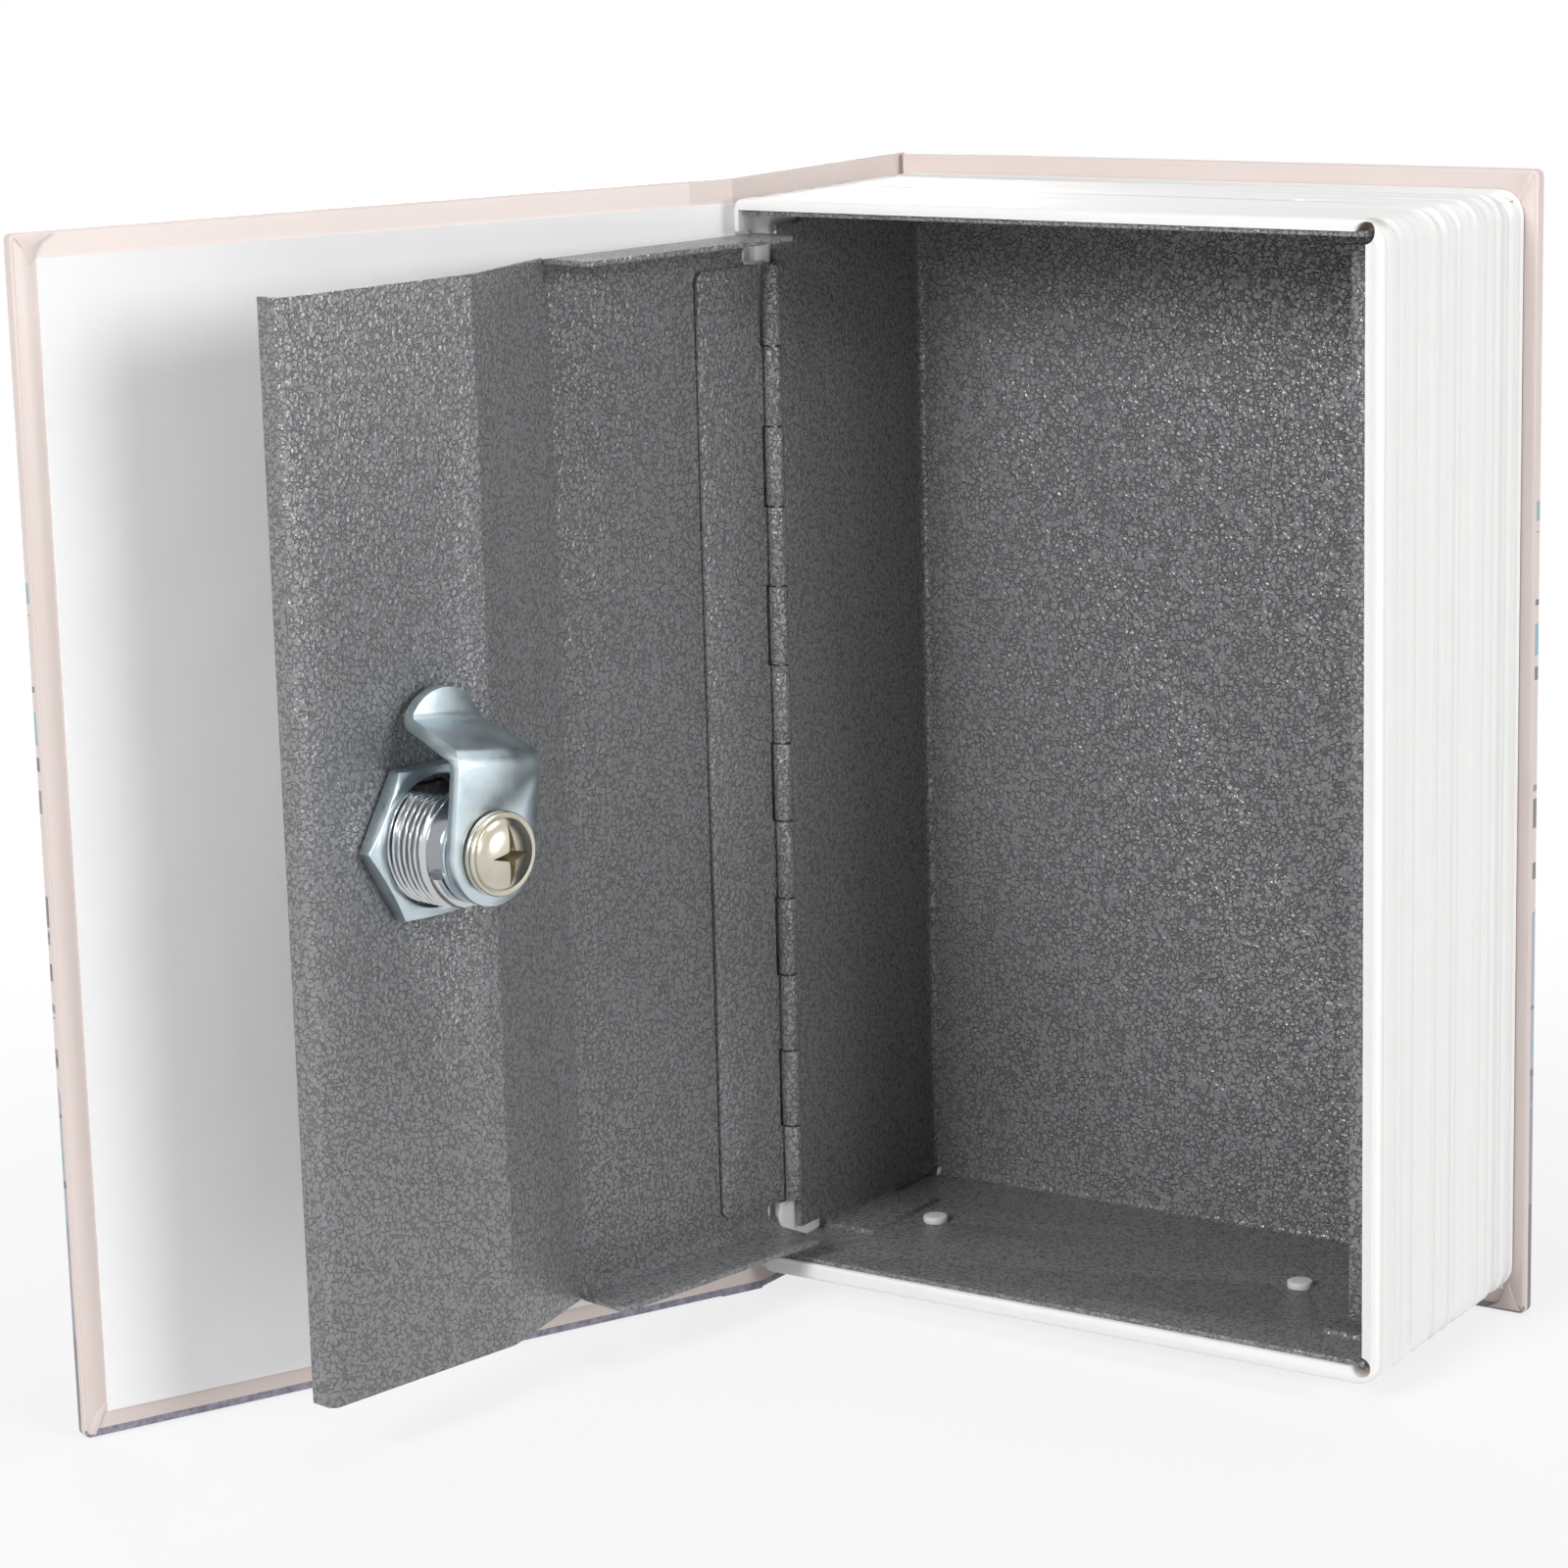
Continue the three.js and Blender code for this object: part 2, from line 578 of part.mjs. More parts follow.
function boxShell() {
  const half = SHEET / 2;
  const floorFront = FRONT_Y + FLOOR_SETBACK;
  const wallMiddle = { left: BOX_LEFT_X + half, right: CAVITY_RIGHT_X - half, back: -half };
  const pan = foldedSheet([
    [floorFront, CAVITY_BOTTOM_Z + half],
    [-half, CAVITY_BOTTOM_Z + half],
    [-half, CAVITY_TOP_Z - half],
    [floorFront, CAVITY_TOP_Z - half],
  ], SHEET, BEND_R);
  let shell = prismX(pan, BOX_LEFT_X, CAVITY_RIGHT_X);
  const walls = foldedSheet([
    [wallMiddle.left, FRONT_Y + HINGE_WALL_FRONT],
    [wallMiddle.left, wallMiddle.back],
    [wallMiddle.right, wallMiddle.back],
    [wallMiddle.right, STRIKE_Y + half],
    [CAVITY_RIGHT_X - STRIKE_REACH, STRIKE_Y + half],
  ], SHEET, BEND_R);
  shell = shell.add(prismZ(walls, FLOOR_Z + SIDE_WALL_GAP, CEILING_Z - SIDE_WALL_GAP));
  shell = shell.add(block(BOX_INNER_LEFT_X - half, BOX_INNER_LEFT_X + TAB_REACH,
    TAB_FRONT_Y, TAB_FRONT_Y + TAB_LENGTH, FLOOR_Z - half, FLOOR_Z + SHEET));
  shell = trimStrike(shell);
  const gap = SIDE_WALL_GAP / 2;
  for (const [z0, z1] of [[FLOOR_Z + gap, FLOOR_Z + WALL_NOTCH], [CEILING_Z - WALL_NOTCH, CEILING_Z - gap]]) {
    shell = shell.subtract(block(BOX_LEFT_X - CUT, BOX_INNER_LEFT_X + gap, FRONT_Y, TAB_FRONT_Y, z0, z1));
  }
  const beadX = CAVITY_RIGHT_X - BEAD_INSET;
  const bead = cylinderZ(0, 0, BEAD_R, 0, BEAD_LENGTH, ROUND_SMALL).rotate([0, 90, 0]);
  shell = shell.add(bead.translate([beadX, BEAD_Y, FLOOR_Z]));
  for (const z of [CAVITY_BOTTOM_Z, CAVITY_TOP_Z]) {
    for (const x of [BOX_LEFT_X, CAVITY_RIGHT_X]) {
      const relief = block(x - RELIEF, x + RELIEF, -SHEET - RELIEF, CUT, z - RELIEF, z + RELIEF);
      shell = shell.subtract(relief);
    }
  }
  return shell.subtract(rivetHoles());
}

// The strike flange stops short of the floor and the ceiling, with rounded free corners.
function trimStrike(shell) {
  const x0 = CAVITY_RIGHT_X - STRIKE_REACH;
  const z0 = FLOOR_Z + STRIKE_END_GAP;
  const z1 = CEILING_Z - STRIKE_END_GAP;
  const zone = block(x0 - CUT, CAVITY_RIGHT_X - SHEET, STRIKE_Y - CUT, STRIKE_Y + SHEET + CUT / 2,
    FLOOR_Z, CEILING_Z);
  const kept = roundedRect(x0, CAVITY_RIGHT_X, z0, z1, [STRIKE_CORNER_R, 0, 0, STRIKE_CORNER_R]);
  return shell.subtract(zone.subtract(prismY(kept, STRIKE_Y - 2 * CUT, STRIKE_Y + SHEET + 2 * CUT)));
}

// Rivets

function rivetPlaces() {
  const xs = [BLOCK_LEFT_X + RIVET_INSET_LEFT, CAVITY_RIGHT_X - RIVET_INSET_RIGHT];
  return xs.flatMap((x) => [
    { x, z0: BLOCK_BOTTOM_Z, z1: FLOOR_Z, up: 1 },
    { x, z0: CEILING_Z, z1: BLOCK_TOP_Z, up: -1 },
  ]);
}

function rivetHoles() {
  const radius = RIVET_SHANK_R + RIVET_CLEARANCE;
  return wasm.Manifold.union(rivetPlaces().map(({ x, z0, z1 }) =>
    cylinderZ(x, RIVET_Y, radius, z0 - CUT, z1 + CUT, ROUND_SMALL)));
}

function snapRivet({ x, z0, z1, up }) {
  const length = z1 - z0 - RIVET_TAIL_GAP;
  const crown = [];
  for (let k = 0; k <= CORNER_STEPS; k += 1) {
    const angle = Math.PI / 2 * k / CORNER_STEPS;
    crown.push([RIVET_HEAD_R * Math.cos(angle), RIVET_HEAD_H * (0.45 + 0.55 * Math.sin(angle))]);
  }
  crown[crown.length - 1][0] = 0;
  const profile = [[0, -length], [RIVET_SHANK_R, -length], [RIVET_SHANK_R, 0], [RIVET_HEAD_R, 0], ...crown];
  const standing = turnedY(profile, ROUND_SMALL).rotate([up > 0 ? 90 : -90, 0, 0]);
  return standing.translate([x, RIVET_Y, up > 0 ? z1 : z0]);
}

// Piano hinge

// The rolled edge of a leaf about the pin: a sheet that leaves the leaf at its tangent
// and wraps the pin. Drawn for a leaf that lies on the -Y side and runs to +X.
function rolledLeaf(width) {
  const radius = KNUCKLE_R - LEAF / 2;
  const steps = ROUND_SMALL + CORNER_STEPS;
  const outer = [];
  const inner = [];
  for (let k = 0; k <= steps; k += 1) {
    const angle = THREE.MathUtils.degToRad(-90 - LEAF_ROLL_END_DEG * k / steps);
    const ray = [Math.cos(angle), Math.sin(angle)];
    outer.push([ray[0] * (radius + LEAF / 2), ray[1] * (radius + LEAF / 2)]);
    inner.push([ray[0] * (radius - LEAF / 2), ray[1] * (radius - LEAF / 2)]);
  }
  return outline([[width, -KNUCKLE_R], [width, -KNUCKLE_R + LEAF], ...inner, ...outer.reverse()].reverse());
}

// A leaf with every second knuckle, starting with the given one from the bottom.
function hingeLeaf(width, firstKnuckle) {
  const strip = prismZ(rolledLeaf(width), HINGE_BOTTOM_Z, HINGE_TOP_Z);
  const radii = [0, LEAF_CORNER_R, LEAF_CORNER_R, 0];
  const shape = roundedRect(-2 * KNUCKLE_R, width, HINGE_BOTTOM_Z, HINGE_TOP_Z, radii);
  let leaf = strip.intersect(prismY(shape, -2 * KNUCKLE_R, 2 * KNUCKLE_R));
  const reach = KNUCKLE_R + KNUCKLE_GAP;
  for (let k = 1 - firstKnuckle; k < KNUCKLES; k += 2) {
    const start = HINGE_BOTTOM_Z + k * KNUCKLE_PITCH;
    const z0 = k === 0 ? start - CUT : start - KNUCKLE_GAP / 2;
    const z1 = k === KNUCKLES - 1 ? HINGE_TOP_Z + CUT : start + KNUCKLE_PITCH + KNUCKLE_GAP / 2;
    leaf = leaf.subtract(block(-reach, reach, -reach, reach, z0, z1));
  }
  return leaf;
}

// The leaf on the box stands along +Y, mirrored from the one on the door.
function boxLeaf() {
  return hingeLeaf(BOX_LEAF_WIDTH, 1).mirror([1, -1, 0]);
}

// Door

function doorPanel() {
  const half = SHEET / 2;
  const hingeN = DOOR_INNER_N - half;
  const lockN = LOCK_SIDE_N - half;
  const section = foldedSheet([
    [DOOR_EDGE_S, hingeN],
    [JOGGLE_START_S, hingeN],
    [JOGGLE_END_S, lockN],
    [DOOR_WIDTH - half, lockN],
    [DOOR_WIDTH - half, LOCK_SIDE_N - DOOR_LIP],
  ], SHEET, DOOR_LIP_BEND_R);
  let panel = prismZ(section, DOOR_BOTTOM_Z, DOOR_TOP_Z);
  const bend = DOOR_BEND_R + SHEET;
  const cutBack = (z0, z1) => block(-CUT, FLANGE_END_S, hingeN - CUT, hingeN + CUT, z0, z1);
  panel = panel.subtract(cutBack(DOOR_TOP_Z - bend, DOOR_TOP_Z + CUT));
  panel = panel.subtract(cutBack(DOOR_BOTTOM_Z - CUT, DOOR_BOTTOM_Z + bend));
  panel = panel.add(doorFlange(DOOR_TOP_Z, 1)).add(doorFlange(DOOR_BOTTOM_Z, -1));
  const notches = [
    [HINGE_TOP_Z, DOOR_TOP_Z - DOOR_BEND_R],
    [DOOR_BOTTOM_Z + DOOR_BEND_R, HINGE_BOTTOM_Z],
  ];
  for (const [z0, z1] of notches) {
    const notch = roundedRect(-CUT, FLANGE_NOTCH_S, z0, z1, [0, FLANGE_NOTCH_R, FLANGE_NOTCH_R, 0]);
    panel = panel.subtract(prismY(notch, hingeN - CUT, hingeN + CUT));
  }
  return panel.subtract(lockHole());
}

// A flange bent inwards along the hinge half of the door, at its top or its bottom.
function doorFlange(edgeZ, up) {
  const half = SHEET / 2;
  const n = DOOR_INNER_N - half;
  const z = edgeZ - up * half;
  const foot = edgeZ - up * (DOOR_BEND_R + FLANGE_LAP);
  const section = foldedSheet([[n, foot], [n, z], [FLANGE_REACH, z]], SHEET, DOOR_BEND_R - SHEET);
  const folded = prismX(section, DOOR_EDGE_S, FLANGE_END_S);
  const radii = [0, 0, FLANGE_CORNER_R, FLANGE_CORNER_R];
  const plan = roundedRect(DOOR_EDGE_S, FLANGE_END_S, n - CUT, FLANGE_REACH, radii);
  return folded.intersect(prismZ(plan, 0, BOOK_HEIGHT));
}

// Lock

function flattened(radius, flats, n0, n1) {
  const round = cylinderY(radius, n0, n1, ROUND_LARGE);
  return round.intersect(block(-radius, radius, n0, n1, -flats / 2, flats / 2));
}

function lockHole() {
  const radius = LOCK_THREAD_R + LOCK_HOLE_CLEARANCE;
  const flats = LOCK_FLATS + 2 * LOCK_HOLE_CLEARANCE;
  const hole = flattened(radius, flats, LOCK_SIDE_N - SHEET - CUT, LOCK_SIDE_N + CUT);
  return hole.translate([LOCK_S, 0, LOCK_Z]);
}

// Lock pieces are drawn about the lock's own axis, and n runs from the outside inwards.
function lockBody() {
  const face = LOCK_HEAD_FACE_N;
  const seat = face + LOCK_HEAD_T;
  const head = turnedY([
    [0, face],
    [LOCK_HEAD_R - LOCK_HEAD_BEVEL, face],
    [LOCK_HEAD_R, face + LOCK_HEAD_BEVEL],
    [LOCK_HEAD_R, seat],
    [0, seat],
  ], ROUND_LARGE);
  const barrel = flattened(LOCK_THREAD_R, LOCK_FLATS, seat - CUT / 2, BARREL_END_N);
  const bore = cylinderY(PLUG_R + PLUG_CLEARANCE, face - CUT, BARREL_END_N + CUT);
  const cutStart = BARREL_END_N - STOP_CUT_DEPTH;
  const cutEnd = BARREL_END_N + CUT;
  const rim = LOCK_THREAD_R + CUT;
  const stopCut = cylinderY(rim, cutStart, cutEnd)
    .subtract(cylinderY(STOP_CUT_R, cutStart - CUT, cutEnd + CUT))
    .intersect(block(-STOP_TAB_W, rim, cutStart - CUT, cutEnd + CUT, -STOP_TAB_W, rim));
  return head.add(barrel).subtract(bore).subtract(stopCut);
}

function lockNut() {
  const n0 = LOCK_SIDE_N + LOCK_SEAT_GAP;
  const n1 = n0 + NUT_T;
  const hexRadius = NUT_AF / Math.sqrt(3);
  const hex = cylinderY(hexRadius, n0, n1, 6).rotate([0, 90, 0]);
  const bevel = turnedY([[0, n0], [hexRadius, n0], [hexRadius, n1 - NUT_BEVEL],
    [NUT_AF / 2, n1], [0, n1]], ROUND_LARGE);
  const bore = cylinderY(LOCK_THREAD_R + LOCK_HOLE_CLEARANCE, n0 - CUT, n1 + CUT, ROUND_LARGE);
  return hex.intersect(bevel).subtract(bore);
}

function waferN(index) {
  return PLUG_FACE_N + WAFER_FIRST + index * WAFER_PITCH;
}

function springX() {
  return WAFER_W / 2 + SPRING_CLEARANCE + SPRING_R + SPRING_WIRE_R;
}

function lockPlug() {
  const barrelEnd = BARREL_END_N + STACK_GAP / 2;
  const tailEnd = CAM_N + CAM_T - TAIL_CLEARANCE;
  const square = TAIL_SQUARE / 2;
  let plug = cylinderY(PLUG_R, PLUG_FACE_N, barrelEnd);
  plug = plug.add(block(-square, square, barrelEnd - CUT / 2, tailEnd, -square, square));
  const keywayEnd = PLUG_FACE_N + KEYWAY_DEPTH;
  plug = plug.subtract(block(-KEYWAY_W / 2, KEYWAY_W / 2, PLUG_FACE_N - CUT, keywayEnd,
    -KEYWAY_H / 2, KEYWAY_H / 2));
  for (let k = 0; k < WAFERS; k += 1) {
    const n = waferN(k);
    const clear = WAFER_SLOT_CLEARANCE;
    const slot = WAFER_W / 2 + clear;
    plug = plug.subtract(block(-slot, slot, n - clear, n + WAFER_T + clear, -PLUG_R - CUT, PLUG_R + CUT));
    const middle = n + WAFER_T / 2;
    const pocketR = SPRING_R + SPRING_WIRE_R + SPRING_CLEARANCE;
    const pocketH = SPRING_LENGTH / 2 + SPRING_WIRE_R + SPRING_CLEARANCE;
    plug = plug.subtract(block(0, springX() + pocketR, middle - pocketR, middle + pocketR,
      -pocketH, pocketH));
  }
  const holeEnd = SCREW_HEAD_N - SCREW_LENGTH - SCREW_CLEARANCE;
  return plug.subtract(cylinderY(SCREW_SHANK_R + SCREW_CLEARANCE, holeEnd, tailEnd + CUT, ROUND_SMALL));
}

// A sprung wafer: a flat plate with a window for the key, flush with the plug when cut right.
function wafer(index) {
  const n = waferN(index);
  const rise = index % 2 === 0 ? WAFER_RISE : -WAFER_RISE;
  const plate = block(-WAFER_W / 2, WAFER_W / 2, n, n + WAFER_T, -WAFER_H / 2, WAFER_H / 2);
  const window = block(-WAFER_WINDOW_W / 2, WAFER_WINDOW_W / 2, n - CUT, n + WAFER_T + CUT,
    -WAFER_WINDOW_H / 2 + rise, WAFER_WINDOW_H / 2 + rise);
  return plate.subtract(window);
}

function waferSpring(index) {
  const n = waferN(index) + WAFER_T / 2;
  class Helix extends THREE.Curve {
    getPoint(t) {
      const angle = 2 * Math.PI * SPRING_TURNS * t;
      const rise = SPRING_LENGTH * (t - 0.5);
      return new THREE.Vector3(SPRING_R * Math.cos(angle), SPRING_R * Math.sin(angle), rise);
    }
  }
  const r = SPRING_WIRE_R;
  const section = outline([[-r, 0], [0, -r], [r, 0], [0, r]]);
  const steps = SPRING_TURNS * SPRING_STEPS;
  const geometry = new THREE.ExtrudeGeometry(section, { steps, extrudePath: new Helix() });
  return toSolid(geometry).translate([springX(), n, 0]);
}

// Moving stack on the plug's square tail

function squareHole(n0, n1) {
  const half = TAIL_SQUARE / 2 + TAIL_CLEARANCE;
  return block(-half, half, n0 - CUT, n1 + CUT, -half, half);
}

function stopWasher() {
  const n0 = STOP_WASHER_N;
  const n1 = n0 + STOP_WASHER_T;
  const disc = cylinderY(STOP_WASHER_R, n0, n1);
  const reach = (STOP_CUT_R + LOCK_THREAD_R) / 2;
  const inner = STOP_CUT_R + PLUG_CLEARANCE;
  const arm = block(-STOP_TAB_W / 2, STOP_TAB_W / 2, n0, n1, 0, reach);
  const tabStart = BARREL_END_N - STOP_CUT_DEPTH + STACK_GAP;
  const tab = block(-STOP_TAB_W / 2, STOP_TAB_W / 2, tabStart, n1, inner, reach + SHEET / 2);
  return disc.add(arm).add(tab).subtract(squareHole(n0, n1));
}

// The cam is cranked towards the door, so that its tip passes behind the strike flange.
function cam() {
  const half = CAM_T / 2;
  const rootN = CAM_N + half;
  const tipN = CAM_TIP_N + half;
  const side = foldedSheet([
    [rootN, -CAM_WIDTH / 2],
    [rootN, CAM_ROOT_BEND],
    [tipN, CAM_TIP_BEND],
    [tipN, CAM_LENGTH],
  ], CAM_T, CAM_BEND_R);
  const strip = prismX(side, -CAM_WIDTH / 2, CAM_WIDTH / 2);
  const plan = new THREE.Shape();
  const shoulder = CAM_LENGTH - CAM_TIP_R;
  plan.moveTo(-CAM_WIDTH / 2, 0);
  plan.absarc(0, 0, CAM_WIDTH / 2, Math.PI, 2 * Math.PI, false);
  plan.lineTo(CAM_WIDTH / 2, CAM_ROOT_BEND);
  plan.lineTo(CAM_TIP_R, shoulder);
  plan.absarc(0, shoulder, CAM_TIP_R, 0, Math.PI, false);
  plan.lineTo(-CAM_WIDTH / 2, CAM_ROOT_BEND);
  const geometry = extruded(plan, WASHER_N, ROUND_SMALL);
  geometry.rotateX(Math.PI / 2);
  geometry.translate(0, WASHER_N, 0);
  return strip.intersect(toSolid(geometry)).subtract(squareHole(CAM_N, CAM_N + CAM_T));
}

function springWasher() {
  const ring = cylinderY(WASHER_R, WASHER_N, WASHER_N + WASHER_T);
  return ring.subtract(cylinderY(WASHER_BORE_R, WASHER_N - CUT, WASHER_N + WASHER_T + CUT));
}

function camScrew() {
  const seat = SCREW_HEAD_N;
  const crown = [];
  for (let k = 0; k <= CORNER_STEPS; k += 1) {
    const angle = Math.PI / 2 * k / CORNER_STEPS;
    crown.push([SCREW_HEAD_R * Math.cos(angle), seat + SCREW_HEAD_H * (0.3 + 0.7 * Math.sin(angle))]);
  }
  crown[crown.length - 1][0] = 0;
  const end = seat - SCREW_LENGTH;
  const profile = [[0, end], [SCREW_SHANK_R, end], [SCREW_SHANK_R, seat], [SCREW_HEAD_R, seat], ...crown];
  const screw = turnedY(profile, ROUND);
  const top = seat + SCREW_HEAD_H;
  const slot = (w, h) => block(-w / 2, w / 2, top - CROSS_DEPTH, top + CUT, -h / 2, h / 2);
  return screw.subtract(slot(CROSS_W, CROSS_SPAN)).subtract(slot(CROSS_SPAN, CROSS_W));
}

// Assembly

const bookSafe = new THREE.Group();
const frontCover = new THREE.Group();
const door = new THREE.Group();
const plugGroup = new THREE.Group();

bookSafe.add(
  toMesh('back_board', coverBoard(BACK_START_X, FORE_X, 0, 1), materials.greyboard),
  toMesh('back_wrap', coverWrap(BACK_START_X, FORE_X, 0, 1), materials.printedPaper),
  toMesh('spine_board', spineBoard(), materials.greyboard),
  toMesh('spine_wrap', spineWrap(), materials.printedPaper),
  toMesh('rear_endpaper', rearEndpaper(), materials.endpaper),
  toMesh('page_block', pageBlock(), materials.mouldedPages),
  toMesh('box_shell', boxShell(), materials.powderCoat),
);
rivetPlaces().forEach((place, index) => {
  bookSafe.add(toMesh(`snap_rivet_${index + 1}`, snapRivet(place), materials.whiteNylon));
});

const boxHinge = new THREE.Group();
boxHinge.position.set(HINGE_AXIS_X, HINGE_AXIS_Y, 0);
boxHinge.add(
  toMesh('hinge_leaf_box', boxLeaf(), materials.powderCoat),
  toMesh('hinge_pin', cylinderZ(0, 0, PIN_R, HINGE_BOTTOM_Z, HINGE_TOP_Z, ROUND_SMALL), materials.pinSteel),
);
bookSafe.add(boxHinge);

frontCover.add(
  toMesh('front_board', coverBoard(FRONT_JOINT, FRONT_FORE_X, COVER_AXIS_DEPTH, -1), materials.greyboard),
  toMesh('front_wrap', frontWrap(), materials.printedPaper),
  toMesh('front_endpaper', frontEndpaper(), materials.endpaper),
);
frontCover.position.set(COVER_AXIS_X, COVER_AXIS_Y, 0);
frontCover.rotation.z = -THREE.MathUtils.degToRad(COVER_OPEN_DEG);
bookSafe.add(frontCover);

door.add(
  toMesh('door_panel', doorPanel(), materials.powderCoat),
  toMesh('hinge_leaf_door', hingeLeaf(LEAF_WIDTH, 0), materials.powderCoat),
);
const lock = new THREE.Group();
lock.position.set(LOCK_S, 0, LOCK_Z);
lock.add(
  toMesh('lock_body', lockBody(), materials.chrome),
  toMesh('lock_nut', lockNut(), materials.zinc),
);
plugGroup.add(
  toMesh('lock_plug', lockPlug(), materials.chrome),
  toMesh('stop_washer', stopWasher(), materials.zinc),
  toMesh('cam', cam(), materials.zinc),
  toMesh('spring_washer', springWasher(), materials.yellowZinc),
  toMesh('cam_screw', camScrew(), materials.yellowZinc),
);
for (let k = 0; k < WAFERS; k += 1) {
  plugGroup.add(toMesh(`wafer_${k + 1}`, wafer(k), materials.brass));
  plugGroup.add(toMesh(`wafer_spring_${k + 1}`, waferSpring(k), materials.springSteel));
}
// The cam stands a few degrees past upright, where the turning of the plug ends.
plugGroup.rotation.y = -THREE.MathUtils.degToRad(LOCK_REST_TURN_DEG);
lock.add(plugGroup);
door.add(lock);
door.position.set(HINGE_AXIS_X, HINGE_AXIS_Y, 0);
door.rotation.z = -THREE.MathUtils.degToRad(DOOR_OPEN_DEG);
bookSafe.add(door);

// The origin is the middle of the footprint of the open book, on the surface it stands on.
bookSafe.updateMatrixWorld(true);
const extent = new THREE.Box3().setFromObject(bookSafe, true);
const centre = extent.getCenter(new THREE.Vector3());
bookSafe.position.set(-centre.x, -centre.y, -extent.min.z);
bookSafe.updateMatrixWorld(true);

const report = (label, vector) => {
  console.log(label, vector.toArray().map((v) => v.toFixed(4)).join(', '));
};
report('size', extent.getSize(new THREE.Vector3()));
report('offset', bookSafe.position);
report('cover axis', frontCover.getWorldPosition(new THREE.Vector3()));
report('door axis', door.getWorldPosition(new THREE.Vector3()));
report('lock axis at', lock.getWorldPosition(new THREE.Vector3()));
report('lock axis along', new THREE.Vector3(0, 1, 0).transformDirection(door.matrixWorld));

export default bookSafe;
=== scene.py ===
# %% [markdown]
# # A book diversion safe
# A hardback book that opens on a folded steel box with a piano-hinged door and a cam
# lock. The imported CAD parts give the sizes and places. This notebook adds what they
# leave out: rounded paper edges, a paper joint, a cut thread and every finish.

# %% Load the frame
import json
import math

import bpy
from mathutils import Matrix, Vector


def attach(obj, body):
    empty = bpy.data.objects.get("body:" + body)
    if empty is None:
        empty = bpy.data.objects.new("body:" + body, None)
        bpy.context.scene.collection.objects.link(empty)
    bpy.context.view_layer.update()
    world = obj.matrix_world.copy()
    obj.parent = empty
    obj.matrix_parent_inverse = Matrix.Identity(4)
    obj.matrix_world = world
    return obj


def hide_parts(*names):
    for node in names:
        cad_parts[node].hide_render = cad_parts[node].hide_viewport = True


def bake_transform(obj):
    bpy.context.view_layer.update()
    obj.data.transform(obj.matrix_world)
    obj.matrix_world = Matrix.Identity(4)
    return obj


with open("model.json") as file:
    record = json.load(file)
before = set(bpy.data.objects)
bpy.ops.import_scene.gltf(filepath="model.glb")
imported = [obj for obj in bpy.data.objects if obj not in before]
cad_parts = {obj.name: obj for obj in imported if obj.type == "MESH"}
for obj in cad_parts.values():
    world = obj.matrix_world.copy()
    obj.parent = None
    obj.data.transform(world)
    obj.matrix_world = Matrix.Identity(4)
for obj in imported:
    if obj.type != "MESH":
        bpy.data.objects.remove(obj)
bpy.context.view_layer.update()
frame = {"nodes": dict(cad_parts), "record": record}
nodes = frame["nodes"]

# %% [markdown]
# The covers, the door and the lock each have a natural set of axes. A flap that stands
# open is easiest to draw closed, in its own axes, and to turn into place afterwards, so
# each set is kept here as a matrix from its own millimetres to the scene. The back
# cover and the spine use the front cover's axes turned over, because all three boards
# are wrapped in the same way.

# %% Axes of the parts
MM = 0.001
BOX_SHIFT = Vector((-29.8288, 76.2925, 0))
FRONT = -50.4
BOOK_HIGH = 180
COVER_PIVOT, COVER_OPEN = (-2.25, -51.4), math.radians(115)
DOOR_PIVOT, DOOR_OPEN = (3.85, -44.3), math.radians(100.6)
LOCK_ALONG, LOCK_HIGH = 81.2, 91.3
BACK_FACE, SPINE_START, SPINE_FACE = 0.6, -48, -0.65
SCALE_MM = Matrix.Scale(MM, 4)
SHIFT = Matrix.Translation(BOX_SHIFT * MM)


def turned_axes(pivot, angle, along=0.0, high=0.0):
    turn = Matrix.Rotation(-angle, 4, "Z")
    stand = Matrix.Translation((*pivot, 0))
    return SHIFT @ SCALE_MM @ stand @ turn @ Matrix.Translation((along, 0, high))


CASE_AXES = turned_axes((0, 0), 0)
COVER_AXES = turned_axes(COVER_PIVOT, COVER_OPEN)
BACK_AXES = (CASE_AXES @ Matrix.Translation((COVER_PIVOT[0], BACK_FACE, BOOK_HIGH))
             @ Matrix.Rotation(math.pi, 4, "X"))
SPINE_AXES = CASE_AXES @ Matrix((
    (0, 1, 0, SPINE_FACE), (1, 0, 0, SPINE_START), (0, 0, -1, BOOK_HIGH), (0, 0, 0, 1)))
DOOR_AXES = turned_axes(DOOR_PIVOT, DOOR_OPEN)
LOCK_AXES = turned_axes(DOOR_PIVOT, DOOR_OPEN, LOCK_ALONG, LOCK_HIGH)
print("lock at", [round(v, 4) for v in LOCK_AXES.translation])

# %% [markdown]
# The camera stands where the photographer's stood. Its place, its turn and its focal
# length were solved from the corners of the covers, so the view has the same strong
# convergence. A roll of a little over one degree is part of the photograph.

# %% Camera
FOCAL_PX, FRAME_PX, SENSOR_MM = 4515, 1600, 36
CAMERA_SPOT = (387.0, -615.0, 237.1)
YAW, PITCH, ROLL = (math.radians(a) for a in (-33.87, 12.565, -1.49))

forward = Vector((
    math.sin(YAW) * math.cos(PITCH), math.cos(YAW) * math.cos(PITCH), -math.sin(PITCH)))
level_right = Vector((math.cos(YAW), -math.sin(YAW), 0))
level_up = level_right.cross(forward)
right = math.cos(ROLL) * level_right + math.sin(ROLL) * level_up
up = math.cos(ROLL) * level_up - math.sin(ROLL) * level_right

